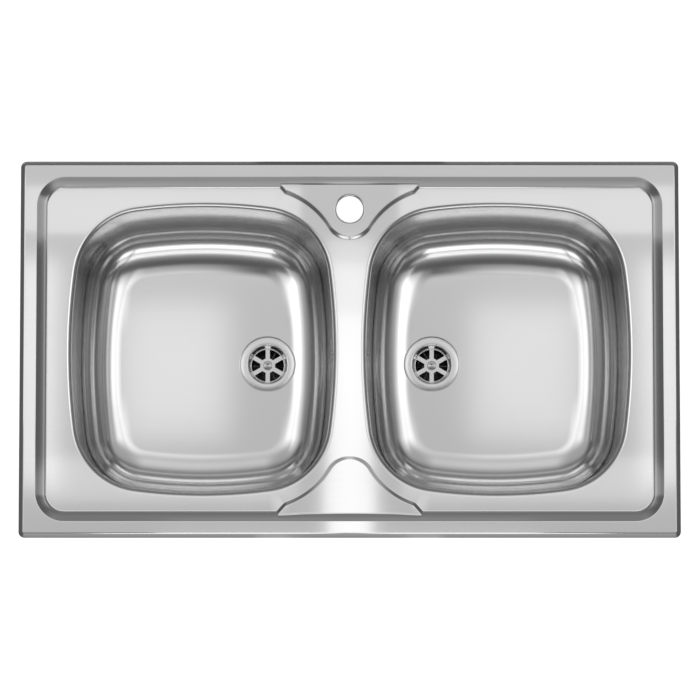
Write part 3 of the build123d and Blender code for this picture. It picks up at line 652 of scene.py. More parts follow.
# ---------------------------------------------------------------- strainers
# In each bowl's dished seat lies a cup pressed from 1 mm stainless sheet: a flat flange, a tapered wall and a
# floor punched to a hub and six spokes. A socket screw through the hub pulls it down on a thin rubber ring.
cup_sheet = 1.0 * mm
flange_radius = 35.3 * mm
throat_radius = 25.2 * mm
lip_radius = 2.2 * mm
cup_floor_radius = 22.6 * mm
cup_corner_radius = 0.7 * mm
cup_floor_z = floor_z - 13.5 * mm
punch_radius = 21.6 * mm
punch_corner = 0.7 * mm
hub_radius = 9.8 * mm
spoke_width = 5.6 * mm
spokes = 6
strainer_screw_hole = 3.2 * mm
strainer_screw_radius = 3.0 * mm
strainer_head_radius = 6.1 * mm
strainer_head_height = 2.8 * mm
strainer_screw_length = 17.5 * mm
socket_width = 5.0 * mm
socket_depth = 1.7 * mm
flange_gasket_radii = (28.0 * mm, 34.8 * mm)


def punched_opening(turn):
    """Outline of one opening between two spokes, its corners rounded."""
    steps, arcs = 18, []
    for radius in (hub_radius, punch_radius):
        half = math.pi / spokes - math.asin(spoke_width / 2 / radius)
        arcs.append([(radius * math.cos(turn + a), radius * math.sin(turn + a))
                     for a in (half * (2 * k / steps - 1) for k in range(steps + 1))])
    line = arcs[1] + arcs[0][::-1]
    corners = {0, steps, steps + 1, 2 * steps + 1}
    outline = []
    for i, point in enumerate(line):
        if i in corners:
            before, after = line[i - 1], line[(i + 1) % len(line)]
            reach = [Vector(p) - Vector(point) for p in (before, after)]
            away = [Vector(point) + v.normalized() * 4 * punch_corner for v in reach]
            outline += bend(away[0], point, away[1], punch_corner, 4)
        else:
            outline.append(point)
    return outline


def make_cup(x):
    """Flange, wall and punched floor of the cup about an upright at x."""
    steps = 96
    profile = bend((flange_radius, floor_z - cup_sheet), (flange_radius, floor_z), (0, floor_z), 0.3 * mm, 3)
    profile += bend((flange_radius, floor_z), (throat_radius, floor_z), (throat_radius, cup_floor_z),
                    lip_radius, 8)
    profile += bend((throat_radius, floor_z - lip_radius), (cup_floor_radius, cup_floor_z), (0, cup_floor_z),
                    cup_corner_radius, 6)
    points, faces, previous = [], [], None
    for radius, z in profile:
        current = list(range(len(points), len(points) + steps))
        points += [(px, py, z) for px, py in circle(radius, (x, 0), steps)]
        if previous:
            join_rings(faces, previous, current)
        previous = current
    edge = circle(profile[-1][0], (x, 0), steps)
    punched = [[(px + x, py) for px, py in punched_opening(math.pi / 2 + math.pi / spokes * (2 * k + 1))]
               for k in range(spokes)]
    hole = circle(strainer_screw_hole, (x, 0), 36)
    tests = [in_outline(loop) for loop in punched + [hole]]
    flat, triangles, loop_points = fill_between(
        [edge] + punched + [hole], [],
        lambda px, py: math.hypot(px - x, py) < profile[-1][0] and not any(test(px, py) for test in tests))
    number = dict(zip(loop_points[0], previous))
    for i, p in enumerate(flat):
        if i not in number:
            number[i] = len(points)
            points.append((p.x, p.y, cup_floor_z))
    faces += [[number[i] for i in t] for t in triangles]
    return thicken(points, faces, cup_sheet)


def level_ring(radius, centre, z, steps=72):
    return [(x, y, z) for x, y in circle(radius, centre, steps)]


def turned(profile, centre, steps=72):
    """Skin of a closed profile of (radius, height), from the inside top outwards, turned about an upright."""
    return skin_through([level_ring(radius, centre, z, steps) for radius, z in reversed(profile)], ends=False)


def eased(profile, radius):
    """A closed profile with every corner rounded a little."""
    points = []
    for i, corner in enumerate(profile):
        points += bend(profile[i - 1], corner, profile[(i + 1) % len(profile)], radius, 2)
    return points


def hexagon(width, centre, z, steps=72):
    """Level ring of a hexagon, by its width across flats."""
    ring = []
    for i in range(steps):
        a = 2 * math.pi * i / steps
        r = width / 2 / math.cos((a + math.pi / 6) % (math.pi / 3) - math.pi / 6)
        ring.append((centre[0] + r * math.cos(a), centre[1] + r * math.sin(a), z))
    return ring


def make_strainer_screw(x):
    """Dome-headed socket screw, from its tip up over the head and down into the socket."""
    top = cup_floor_z + strainer_head_height
    rings = [level_ring(r, (x, 0), z) for r, z in (
        (strainer_screw_radius - 0.6 * mm, cup_floor_z - strainer_screw_length),
        (strainer_screw_radius, cup_floor_z - strainer_screw_length + 0.8 * mm),
        (strainer_screw_radius, cup_floor_z), (strainer_head_radius - 0.2 * mm, cup_floor_z),
        (strainer_head_radius, cup_floor_z + 0.2 * mm))]
    shoulder = (strainer_head_radius, top - 0.25 * mm)
    dome = bend((strainer_head_radius, cup_floor_z), shoulder, (0, top), 1.3 * mm, 6)
    rings += [level_ring(r, (x, 0), z) for r, z in dome]
    rings += [hexagon(width, (x, 0), top - depth) for width, depth in (
        (socket_width + 0.5 * mm, 0.08 * mm), (socket_width, 0.35 * mm), (socket_width, socket_depth))]
    rings.append(level_ring(0.6 * mm, (x, 0), top - socket_depth - 0.5 * mm))
    return joined("strainer_screw", skin_through(rings))


def plain_metal(name, colour, roughness, grain=700.0, depth=0.03):
    """Polished or plated metal with a fine even grain."""
    material, nodes, links, shader = new_material(name)
    shader.inputs["Metallic"].default_value = 1.0
    shader.inputs["Base Color"].default_value = (*colour, 1)
    grains = noise(nodes, links, nodes.new("ShaderNodeTexCoord").outputs["Object"], grain, 2.0)
    roughen(nodes, links, shader, grains, roughness * 0.8, roughness * 1.2)
    relief(nodes, links, shader, grains, depth)
    return material


def moulded(name, colour, roughness, grain=900.0, depth=0.06):
    """Plastic, rubber or foam with a fine grain in its surface."""
    material, nodes, links, shader = new_material(name)
    shader.inputs["Roughness"].default_value = roughness
    grains = noise(nodes, links, nodes.new("ShaderNodeTexCoord").outputs["Object"], grain, 3.0)
    tint(nodes, links, shader, grains, colour, 0.15)
    relief(nodes, links, shader, grains, depth)
    return material


def finish_node(name, material):
    """Gives a CAD node that is shown as it is the material of the real piece."""
    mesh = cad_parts[name].data
    mesh.materials.clear()
    mesh.materials.append(material)


cup_steel = plain_metal("pressed_strainer_steel", (0.78, 0.78, 0.78), 0.24)
screw_steel = plain_metal("polished_screw_steel", (0.50, 0.50, 0.50), 0.16)
rubber = moulded("black_rubber", (0.03, 0.03, 0.03), 0.7)
drains = {"left": drain_offset - bowl_x, "right": bowl_x - drain_offset}
for name, x in drains.items():
    add_piece(f"{name}_cup", make_cup(x), "sink", [f"{name}_strainer_cup"], cup_steel)
    add_piece(f"{name}_cup_screw", make_strainer_screw(x), "sink",
              [f"{name}_strainer_screw"], screw_steel)
    inner, outer = flange_gasket_radii
    ring_profile = eased([(inner, floor_z - cup_sheet), (outer, floor_z - cup_sheet),
                          (outer, floor_z - drain_seat_depth), (inner, floor_z - drain_seat_depth)], 0.3 * mm)
    add_piece(f"{name}_cup_ring", joined("ring", turned(ring_profile, (x, 0))), "sink",
              [f"{name}_flange_gasket"], rubber)

# ---------------------------------------------------------------- wastes
# Under each bowl a moulded black waste body with a thick rubber ring on top: a bore with ribs, a spider that
# holds the screw's brass nut, an overflow port to the middle of the sink, and a threaded outlet for the trap.
seat_under_z = floor_z - drain_seat_depth - sheet
body_top_z = seat_under_z - 3.0 * mm
body_gasket_radii = (28.0 * mm, 36.5 * mm)
body_flange_radius = 37.0 * mm
body_flange_depth = 4.0 * mm
body_bore = 27.2 * mm
body_outer = 30.6 * mm
body_edge = 0.8 * mm                             # rounding of the flange's edges
bore_end_z = body_top_z - 26.0 * mm
cone_depth = 8.0 * mm
outlet_bore = 20.0 * mm
outlet_radius = 23.9 * mm
outlet_depth = 24.0 * mm
thread_pitch = 2.3 * mm
thread_depth = 1.2 * mm
ribs = 48
rib_width = 0.9 * mm
rib_height = 9.0 * mm
rib_inner_radius = 12.5 * mm
grips = 30
grip_width = 2.4 * mm
grip_rise = 1.1 * mm
spider_arms = 3
spider_arm_width = 3.0 * mm
spider_arm_height = 7.0 * mm
spider_hub_radius = 7.6 * mm
spider_top_z = cup_floor_z - cup_sheet - 1.0 * mm
spider_hub_height = 13.0 * mm
port_z = body_top_z - 15.5 * mm
port_radius = 7.5 * mm
port_bore = 5.8 * mm
port_end = 50.6 * mm
port_foot = 2.2 * mm                             # how much wider the port is at the body's wall
sunk = 1.0 * mm                                  # how far ribs, grips and arms reach into what carries them


def thread_wave(turns):
    """Height of a thread's flank, 0 at the root and 1 at the crest, at a number of turns."""
    t = abs((turns % 1) - 0.5) * 2
    return min(max((0.86 - t) / 0.72, 0), 1)


def bar(start, end, width, low, high, taper=0.0):
    """Upright strip of a rib between two radii along +X, thinner at the top by the taper."""
    rings = []
    for z, w in ((low, width), (high - 0.3 * mm, width - taper), (high, width - taper - 0.3 * mm)):
        rings.append([(start, -w / 2, z), (end, -w / 2, z), (end, w / 2, z), (start, w / 2, z)])
    return skin_through(rings)


def placed(skin, turn, x=0.0, y=0.0):
    """A skin turned about the upright through 0, then moved."""
    points, faces = skin
    c, s = math.cos(turn), math.sin(turn)
    return [(x + px * c - py * s, y + px * s + py * c, pz) for px, py, pz in points], faces


def pipe_piece(radii, height):
    """Skin of a level tube along +X at a height, through (reach, radius) pairs of a closed profile."""
    rings = [[(reach, across, height + up) for across, up in circle(radius, steps=40)]
             for reach, radius in radii]
    return skin_through(rings, ends=False)


def make_waste_body(x, way):
    """Waste body about an upright at x, its overflow port pointing along way (-1 or 1) in X."""
    steps, rows = 96, 110
    outlet_top = bore_end_z - cone_depth
    outlet_end = outlet_top - outlet_depth
    outside = [(body_flange_radius, body_top_z), (body_flange_radius, body_top_z - body_flange_depth),
               (body_outer, body_top_z - body_flange_depth), (body_outer, bore_end_z)]
    profile = bend((body_bore, body_top_z), outside[0], outside[1], body_edge, 3)
    profile += bend(outside[0], outside[1], outside[2], body_edge, 3)
    profile += bend(outside[1], outside[2], outside[3], 1.0 * mm, 3)
    profile += [(body_outer, bore_end_z), (outlet_radius, outlet_top)]
    rings = [level_ring(r, (0, 0), z, steps) for r, z in profile]
    for k in range(1, rows + 1):
        depth = outlet_depth * k / rows
        left = outlet_depth - depth
        fade = max(0, min(1, (depth - 1.5 * mm) / (2 * mm), left / (1.2 * mm)))
        ring = []
        for i in range(steps):
            a = 2 * math.pi * i / steps
            cut = thread_depth * fade * (1 - thread_wave(depth / thread_pitch + i / steps))
            r = outlet_radius - max(cut, 1.0 * mm - left)
            ring.append((r * math.cos(a), r * math.sin(a), outlet_top - depth))
        rings.append(ring)
    inside = [(outlet_bore, outlet_end), (outlet_bore, outlet_top), (body_bore, bore_end_z),
              (body_bore, body_top_z - 0.6 * mm), (body_bore + 0.6 * mm, body_top_z)]
    rings += [level_ring(r, (0, 0), z, steps) for r, z in inside]
    shell_points, shell_faces = skin_through(rings, ends=False)
    skins = [(shell_points, [face[::-1] for face in shell_faces])]
    rib_low = bore_end_z - sunk
    rib = bar(rib_inner_radius, body_bore + sunk, rib_width, rib_low, rib_low + rib_height, 0.3 * mm)
    skins += [placed(rib, 2 * math.pi * (k + 0.5) / ribs) for k in range(ribs)]
    grip = bar(body_outer - sunk, body_outer + grip_rise, grip_width, bore_end_z + 3.0 * mm,
               body_top_z - body_flange_depth)
    skins += [placed(grip, 2 * math.pi * (k + 0.5) / grips) for k in range(grips)]
    hub_low = spider_top_z - spider_hub_height
    hub = [(strainer_screw_hole, spider_top_z), (spider_hub_radius, spider_top_z), (spider_hub_radius, hub_low),
           (strainer_screw_hole, hub_low)]
    skins.append(turned(eased(hub, 0.5 * mm), (0, 0), 48))
    arm = bar(spider_hub_radius - sunk, body_bore + sunk, spider_arm_width,
              hub_low, hub_low + spider_arm_height, 0.8 * mm)
    skins += [placed(arm, 2 * math.pi * k / spider_arms + math.pi) for k in range(spider_arms)]
    port = [(body_outer - 1.5 * mm, port_radius + port_foot), (body_outer + 1.2 * mm, port_radius + port_foot),
            (body_outer + 2.6 * mm, port_radius), (port_end - 0.7 * mm, port_radius),
            (port_end, port_radius - 0.7 * mm), (port_end, port_bore), (body_outer - 1.5 * mm, port_bore)]
    skins.append(pipe_piece(port, port_z))
    return joined("waste_body", *(placed(skin, 0 if way > 0 else math.pi, x) for skin in skins))


black_plastic = moulded("moulded_black_plastic", (0.035, 0.035, 0.035), 0.36)
brass = plain_metal("turned_brass", (0.72, 0.52, 0.24), 0.3)
for name, x in drains.items():
    add_piece(f"{name}_waste", make_waste_body(x, 1 if x < 0 else -1), "sink",
              [f"{name}_waste_body"], black_plastic)
    inner, outer = body_gasket_radii
    ring_profile = eased([(inner, seat_under_z), (outer, seat_under_z),
                          (outer, body_top_z), (inner, body_top_z)], 0.6 * mm)
    add_piece(f"{name}_waste_ring", joined("ring", turned(ring_profile, (x, 0))), "sink",
              [f"{name}_body_gasket"], rubber)
    finish_node(f"{name}_insert_nut", brass)

# ---------------------------------------------------------------- overflows
# Behind the slots in each bowl's inner wall, a black plastic housing on a rubber wedge, held by a screw from
# the bowl's side. A short stiff corrugated pipe leads down from its spigot to the waste body's port, with a nut
# at either end.
pipe_x = 12.28 * mm
pipe_fit = 7.6 * mm
pipe_wall = 1.4 * mm
pipe_bend = 35.0 * mm
pipe_top_z = overflow_z - 14.5 * mm - 5.0 * mm
pipe_overlap = 11.0 * mm
corrugation_pitch = 4.2 * mm
corrugation_depth = 1.3 * mm
plain_end = 11.5 * mm
nut_gap = 0.15 * mm
nut_wall = 2.2 * mm
nut_length = 10.0 * mm
nut_grips = 18
nut_grip_rise = 0.9 * mm
screw_seat_x = 23.91 * mm
screw_tip_x = 9.28 * mm
screw_head = (3.6 * mm, 1.6 * mm, 0.9 * mm)      # radius, height and rounding
screw_shank = 2.0 * mm
cross_recess = (0.55 * mm, 2.1 * mm, 1.1 * mm)   # half width and reach of the cross's arms, and its depth


def pipe_centreline(side):
    """Points, directions and distances along the pipe's middle, from the housing down to the port."""
    x0, x1 = side * pipe_x, side * (bowl_x - drain_offset - port_end + pipe_overlap)
    turn_x = x0 + side * pipe_bend
    turn_z = port_z + pipe_bend
    upright_run = pipe_top_z - turn_z
    level_run = abs(x1 - turn_x)
    arc = pipe_bend * math.pi / 2
    line = []
    total = upright_run + arc + level_run
    count = round(total / (corrugation_pitch / 10))
    for k in range(count + 1):
        s = total * k / count
        if s < upright_run:
            line.append((s, Vector((x0, 0, pipe_top_z - s)), Vector((0, 0, -1))))
        elif s < upright_run + arc:
            a = (s - upright_run) / pipe_bend
            c, k = math.cos(a), math.sin(a)
            line.append((s, Vector((turn_x - side * pipe_bend * c, 0, turn_z - pipe_bend * k)),
                         Vector((side * k, 0, -c))))
        else:
            run = s - upright_run - arc
            line.append((s, Vector((turn_x + side * run, 0, port_z)), Vector((side, 0, 0))))
    return line, total


def ring_across(middle, direction, radius, steps=48):
    """Ring about a direction."""
    across = Vector((0, 1, 0))
    other = direction.cross(across)
    return [tuple(middle + radius * (math.cos(a) * across + math.sin(a) * other))
            for a in (2 * math.pi * i / steps for i in range(steps))]


def make_pipe(side):
    """Corrugated pipe with plain ends, as a wall of even bore."""
    line, total = pipe_centreline(side)
    outer, inner = [], []
    for s, middle, direction in line:
        inward = min(1, max(0, (s - plain_end) / (1.5 * mm)), max(0, (total - plain_end - s) / (1.5 * mm)))
        wave = smooth_step(0.5 - 0.5 * math.cos(2 * math.pi * (s - plain_end) / corrugation_pitch))
        outer.append(ring_across(middle, direction, pipe_fit + pipe_wall - corrugation_depth * inward * wave))
        inner.append(ring_across(middle, direction, pipe_fit))
    return joined("pipe", skin_through(outer + inner[::-1], ends=False))


def make_pipe_nut(middle, direction):
    """Ribbed ring nut whose open end starts at a point of the pipe's middle."""
    inner = pipe_fit + pipe_wall + nut_gap
    body = inner + nut_wall - nut_grip_rise
    steps = nut_grips * 8
    across = Vector((0, 1, 0))
    other = direction.cross(across)
    rings = []
    for reach, radius, grip in ((0.0, inner, 0), (0.0, body - 0.8 * mm, 0), (0.8 * mm, body, nut_grip_rise),
                                (nut_length - 1.6 * mm, body, nut_grip_rise),
                                (nut_length - 0.8 * mm, body - 0.5 * mm, 0),
                                (nut_length, body - 1.3 * mm, 0), (nut_length, inner, 0)):
        ring = []
        for a in (2 * math.pi * i / steps for i in range(steps)):
            r = radius + grip * max(0, math.cos(nut_grips * a)) ** 0.5
            ring.append(tuple(middle + direction * reach + r * (math.cos(a) * across + math.sin(a) * other)))
        rings.append(ring)
    return skin_through(rings, ends=False)


def make_overflow_screw(side):
    """Pan-head screw with a cross recess, its head towards the bowl."""
    radius, height, rounding = screw_head
    half, reach, depth = cross_recess
    steps = 48
    tip = screw_tip_x - screw_seat_x
    profile = [(screw_shank * 0.6, tip), (screw_shank, tip + 1.2 * mm), (screw_shank, 0), (radius, 0)]
    profile += bend((radius, 0), (radius, height), (0, height), rounding, 6)
    rings = [level_ring(r, (0, 0), z, steps) for r, z in profile]
    for z, grow in ((height, 0.15 * mm), (height - 0.15 * mm, 0.0), (height - depth, -0.2 * mm)):
        cross = []
        for i in range(steps):
            a = 2 * math.pi * i / steps
            c, k = abs(math.cos(a)), abs(math.sin(a))
            r = min((half + grow) / max(min(c, k), 1e-9), (reach + grow) / max(c, k))
            cross.append((r * math.cos(a), r * math.sin(a), z))
        rings.append(cross)
    points, faces = skin_through(rings)
    points = [(side * (screw_seat_x + z), side * x, overflow_z + y) for x, y, z in points]
    return joined("overflow_screw", (points, faces))


pipe_plastic = moulded("grey_pipe_plastic", (0.42, 0.43, 0.44), 0.5)
for side, name in ((-1, "left"), (1, "right")):
    add_piece(f"{name}_corrugated_pipe", make_pipe(side), "sink",
              [f"{name}_overflow_pipe"], pipe_plastic)
    line, _ = pipe_centreline(side)
    nuts = [make_pipe_nut(line[0][1], line[0][2]), make_pipe_nut(line[-1][1], -line[-1][2])]
    add_piece(f"{name}_ring_nuts", joined("nuts", *nuts), "sink",
              [f"{name}_pipe_nuts"], black_plastic)
    add_piece(f"{name}_housing_screw", make_overflow_screw(side), "sink",
              [f"{name}_overflow_screw"], screw_steel)
    finish_node(f"{name}_overflow_gasket", rubber)
    finish_node(f"{name}_overflow_housing", black_plastic)

# ---------------------------------------------------------------- damping pads
# Sheets of dark bitumen with rounded corners, glued under the bowls' flat bottoms beside the wastes.
# They dull the sound of water.
pad_near = 57.3 * mm                             # from the drain's axis
pad_size = (119.8 * mm, 170.2 * mm, 2.5 * mm)
pad_corner = 9.0 * mm


def plate(outline_at, low, high, ease, hole_at=None):
    """Skin of a flat plate whose edges are rounded by the ease. Outline_at and hole_at give the outline moved
    inwards, and the hole made wider, by a distance."""
    depths = [(ease, low), (0.3 * ease, low + 0.3 * ease), (0.0, low + ease),
              (0.0, high - ease), (0.3 * ease, high - 0.3 * ease), (ease, high)]
    points, faces = skin_through([[(x, y, z) for x, y in outline_at(d)] for d, z in depths])
    loops, count = [outline_at(ease)], len(outline_at(ease))
    faces = faces[:-2]
    given = [list(range(count)), list(range(len(points) - count, len(points)))]
    if hole_at:
        hole_points, hole_faces = skin_through([[(x, y, z) for x, y in hole_at(d)] for d, z in depths])
        start = len(points)
        faces += [[v + start for v in face[::-1]] for face in hole_faces[:-2]]
        loops.append(hole_at(ease))
        given[0] += range(start, start + len(loops[1]))
        points += hole_points
        given[1] += range(len(points) - len(loops[1]), len(points))
    tests = [in_outline(loop) for loop in loops]
    flat, triangles, loop_points = fill_between(
        loops, [], lambda x, y: tests[0](x, y) and not any(test(x, y) for test in tests[1:]))
    own = [i for loop in loop_points for i in loop]
    for numbers, turn_over in ((given[0], True), (given[1], False)):
        number = dict(zip(own, numbers))
        faces += [[number[i] for i in (t[::-1] if turn_over else t)] for t in triangles]
    return points, faces


def rounded_rectangle(x0, x1, y0, y1, corner, inset=0.0, steps=8):
    """Points of a rectangle with rounded corners, moved inwards by the inset."""
    points = []
    r = max(corner - inset, 0.02 * mm)
    for k, (cx, cy) in enumerate(((x1 - corner, y1 - corner), (x0 + corner, y1 - corner),
                                  (x0 + corner, y0 + corner), (x1 - corner, y0 + corner))):
        points += [(cx + r * math.cos(a), cy + r * math.sin(a))
                   for a in (math.pi / 2 * (k + i / steps) for i in range(steps + 1))]
    return points


damping = moulded("bitumen_sheet", (0.06, 0.06, 0.06), 0.75, 260.0, 0.3)
pad_top = floor_z - sheet
for name, x in drains.items():
    near = abs(x) + pad_near
    ends = sorted(math.copysign(reach, x) for reach in (near, near + pad_size[0]))
    pad = plate(lambda d: rounded_rectangle(*ends, -pad_size[1] / 2, pad_size[1] / 2, pad_corner, d),
                pad_top - pad_size[2], pad_top, 0.5 * mm)
    add_piece(f"{name}_bitumen_pad", joined("pad", pad), "sink",
              [f"{name}_damping_pad"], damping)

# ---------------------------------------------------------------- rails and seal
# Angles folded from 1 mm steel, spot-welded by their flanges under the deck, with pairs of slots that the clamps
# hook into. A closed-cell foam strip under the rim seals it against the worktop.
rail_sheet = 1.0 * mm
rail_flange = 10.0 * mm
rail_height = 22.0 * mm
rail_fold = 1.6 * mm                             # outside radius
rail_corner = 3.0 * mm
rail_top = deck_z - sheet
rail_face = (390.5 * mm, 208.0 * mm)             # from the sink's middle to the webs' faces
clamp_at = (215.0 * mm, 120.0 * mm)              # of the front and back clamps in X, of the side ones in Y
lug_spacing = 12.0 * mm
lug_z = -12.0 * mm
lug_slot = (4.6 * mm, 2.1 * mm)
weld_spacing = 38.0 * mm
weld_margin = 14.0 * mm                          # from the rail's ends
weld_line = 4.6 * mm                             # from the flange's free edge
weld_radius = 2.4 * mm
weld_dent = 0.25 * mm
seal_inset = 7.0 * mm
seal_width = 4.6 * mm


def folded(outline, holes, path, dents=()):
    """Skin of a sheet's face: an outline of (x, distance along the path), punched, then folded along the path,
    which is a line of (y, z). Dents are round spots of the flat pattern that are pressed in."""
    steps = [math.dist(a, b) for a, b in zip(path, path[1:])]
    run = np.concatenate([[0.0], np.cumsum(steps)])
    reach = max(abs(x) for x, _ in outline) + 5 * mm
    rows = [[(-reach, float(r)), (reach, float(r))] for r in run[1:-1]]
    tests = [in_outline(loop) for loop in [outline] + holes]
    spots = [circle(weld_radius * part, spot, 16) for spot in dents for part in (0.55, 1.0)]
    flat, faces, _ = fill_between([outline] + holes + spots, rows,
                                  lambda x, r: tests[0](x, r) and not any(test(x, r) for test in tests[1:]))
    points = []
    used = sorted({i for face in faces for i in face})
    number = {old: new for new, old in enumerate(used)}
    for i in used:
        x, r = flat[i]
        y, z = (float(np.interp(r, run, [q[k] for q in path])) for k in (0, 1))
        if any(math.dist((x, r), spot) < 0.8 * weld_radius for spot in dents):
            z -= weld_dent
        points.append((x, y, z))
    return points, [[number[i] for i in face] for face in faces]


def as_skin(mesh):
    """Points and faces of a mesh that is no longer needed itself."""
    skin = [tuple(v.co) for v in mesh.vertices], [list(p.vertices) for p in mesh.polygons]
    bpy.data.meshes.remove(mesh)
    return skin


def make_rail(length, clamps):
    """Rail along X, the outer face of its web on y = 0 and facing +Y."""
    start, end = (-rail_flange, rail_top), (0, rail_top - rail_height)
    path = [start, *bend(start, (0, rail_top), end, rail_fold, 6), end]
    run = sum(math.dist(a, b) for a, b in zip(path, path[1:]))
    outline = rounded_rectangle(-length / 2, length / 2, 0, run, rail_corner)
    slot_run = run - (lug_z - end[1])
    slots = [rounded_rectangle(x - lug_slot[0] / 2, x + lug_slot[0] / 2, slot_run - lug_slot[1] / 2,
                               slot_run + lug_slot[1] / 2, 0.5 * mm, steps=3)
             for clamp in clamps for x in (clamp - lug_spacing / 2, clamp + lug_spacing / 2)]
    reach = length / 2 - weld_margin
    count = round(2 * reach / weld_spacing)
    welds = [(reach * (2 * k / count - 1), weld_line) for k in range(count + 1)]
    return as_skin(thicken(*folded(outline, slots, path, welds), rail_sheet))


rail_steel = plain_metal("folded_rail_steel", (0.60, 0.60, 0.60), 0.34)
front_length, back_length, side_length = 660 * mm, 250 * mm, 340 * mm
back_middle = 215 * mm
# length, the clamps' places along the rail, its middle, and its turn in degrees
rails = {
    "front_rail": (front_length, (-clamp_at[0], clamp_at[0]), (0, -rail_face[1]), 180),
    "back_left_rail": (back_length, (back_middle - clamp_at[0],), (-back_middle, rail_face[1]), 0),
    "back_right_rail": (back_length, (clamp_at[0] - back_middle,), (back_middle, rail_face[1]), 0),
    "left_rail": (side_length, (-clamp_at[1], clamp_at[1]), (-rail_face[0], 0), 90),
    "right_rail": (side_length, (-clamp_at[1], clamp_at[1]), (rail_face[0], 0), -90),
}
for name, (length, places, middle, turn) in rails.items():
    skin = placed(make_rail(length, places), math.radians(turn), *middle)
    add_piece(f"{name}_angle", joined(name, skin), "sink", [name], rail_steel)

foam = moulded("sealing_foam", (0.07, 0.07, 0.07), 0.9, 1400.0, 0.5)
seal_end = seal_inset + seal_width
seal = plate(lambda d: rounded_outline(seal_inset + d, seal_inset + 1.4 * mm), 0.0, rim_z - sheet, 0.9 * mm,
             lambda d: rounded_outline(seal_end - d, seal_end + 1.0 * mm))
add_piece("foam_seal", joined("seal", seal), "sink", ["rim_seal"], foam)

# ---------------------------------------------------------------- clamps
# Eight swing-out clamps of bright zinc-plated steel. A folded bracket hooks on a rail by two lugs. A captive
# slotted hex screw stands in it, and the nut on the screw carries a toothed arm that swings out under the worktop
# and rises against it.
bracket_sheet = 1.5 * mm
bracket_width = 20.0 * mm
bracket_top = -6.0 * mm
bracket_low = -62.0 * mm
bracket_reach = 19.5 * mm
bracket_fold = 2.2 * mm
bracket_corner = 5.0 * mm
bracket_hole = 3.1 * mm
lug_size = (4.0 * mm, 4.0 * mm, 1.5 * mm)        # width, length and sheet
screw_axis = 11.5 * mm                           # from the rail's face
screw_radius = 3.0 * mm
screw_pitch = 1.5 * mm
screw_thread = 0.45 * mm
screw_thread_length = 43.0 * mm
collar_radius = 5.0 * mm
collar_height = 1.0 * mm
head_width = 10.0 * mm
head_height = 4.5 * mm
head_slot = (1.2 * mm, 1.5 * mm)                 # width and depth
end_gap = 0.2 * mm
nut_low = -58.5 * mm
nut_bore = 3.05 * mm
nut_radius = 5.5 * mm
nut_height = 9.0 * mm
nut_flange = (7.5 * mm, 1.5 * mm)                # radius and height
nut_lip = (6.8 * mm, 1.0 * mm)
arm_sheet = 3.0 * mm
arm_width = 16.0 * mm
arm_length = 36.0 * mm
arm_gap = 0.1 * mm
arm_teeth = 3
tooth = (3.0 * mm, 6.0 * mm, 0.9 * mm)           # depth, height and chamfer
tooth_root = 0.35 * mm                           # how far a tooth starts below the arm's face


def make_bracket():
    """Bracket whose plate stands on y = 0, with two tabs towards +Y and two lugs towards -Y."""
    path = [(bracket_reach, bracket_low)]
    path += bend(path[0], (0, bracket_low), (0, bracket_top), bracket_fold, 5)
    path += bend((0, bracket_low), (0, bracket_top), (bracket_reach, bracket_top), bracket_fold, 5)
    path.append((bracket_reach, bracket_top))
    run = sum(math.dist(a, b) for a, b in zip(path, path[1:]))
    outline = rounded_rectangle(-bracket_width / 2, bracket_width / 2, 0, run, bracket_corner)
    hole_run = bracket_reach - screw_axis
    holes = [circle(bracket_hole, (0, r), 32) for r in (hole_run, run - hole_run)]
    skins = [as_skin(thicken(*folded(outline, holes, path), bracket_sheet))]
    width, length, thickness = lug_size
    for side in (-1, 1):
        x, ease = side * lug_spacing / 2, 0.3 * mm
        rings = []
        for y, inset in ((0.4 * mm, 0.0), (-length + 0.5 * mm, 0.0), (-length, ease)):
            rings.append([(px, y, pz) for px, pz in rounded_rectangle(
                x - width / 2 + inset, x + width / 2 - inset, lug_z - thickness / 2 + inset / 2,
                lug_z + thickness / 2 - inset / 2, 0.3 * mm, steps=2)])
        skins.append(skin_through(rings))
    return skins


def make_clamp_screw():
    """Screw about the upright through y = 0, from its slotted head to its riveted collar."""
    steps, rows = 24, 8
    low, top = bracket_low - end_gap, bracket_top + end_gap
    rings = [level_ring(screw_radius, (0, 0), low, steps)]
    start = bracket_low + bracket_sheet + 1 * mm
    for k in range(round(screw_thread_length / screw_pitch * rows) + 1):
        rise = screw_pitch * k / rows
        fade = max(0, min(1, rise / screw_pitch, (screw_thread_length - rise) / screw_pitch))
        ring = []
        for i in range(steps):
            a = 2 * math.pi * i / steps
            r = screw_radius - screw_thread * fade * (1 - thread_wave(rise / screw_pitch - i / steps))
            ring.append((r * math.cos(a), r * math.sin(a), start + rise))
        rings.append(ring)
    rings.append(level_ring(screw_radius, (0, 0), top, steps))
    collar_top = top + collar_height
    collar = bend((collar_radius, top), (collar_radius, collar_top), (0, collar_top), 0.6 * mm, 4)
    rings += [level_ring(r, (0, 0), z, steps) for r, z in [(collar_radius, top)] + collar]
    head_low, slot_top, edge = low - head_height, low - head_height + head_slot[1], head_slot[0] / 2
    skins = [skin_through(rings), skin_through([hexagon(head_width, (0, 0), z) for z in (slot_top, low)])]
    for side in (-1, 1):
        skins.append(skin_through([
            [(x, max(y, edge) if side > 0 else min(y, -edge), z) for x, y, _ in hexagon(width, (0, 0), 0)]
            for z, width in ((head_low, head_width - 1.0 * mm), (head_low + 0.35 * mm, head_width),
                             (slot_top, head_width))]))
    return skins


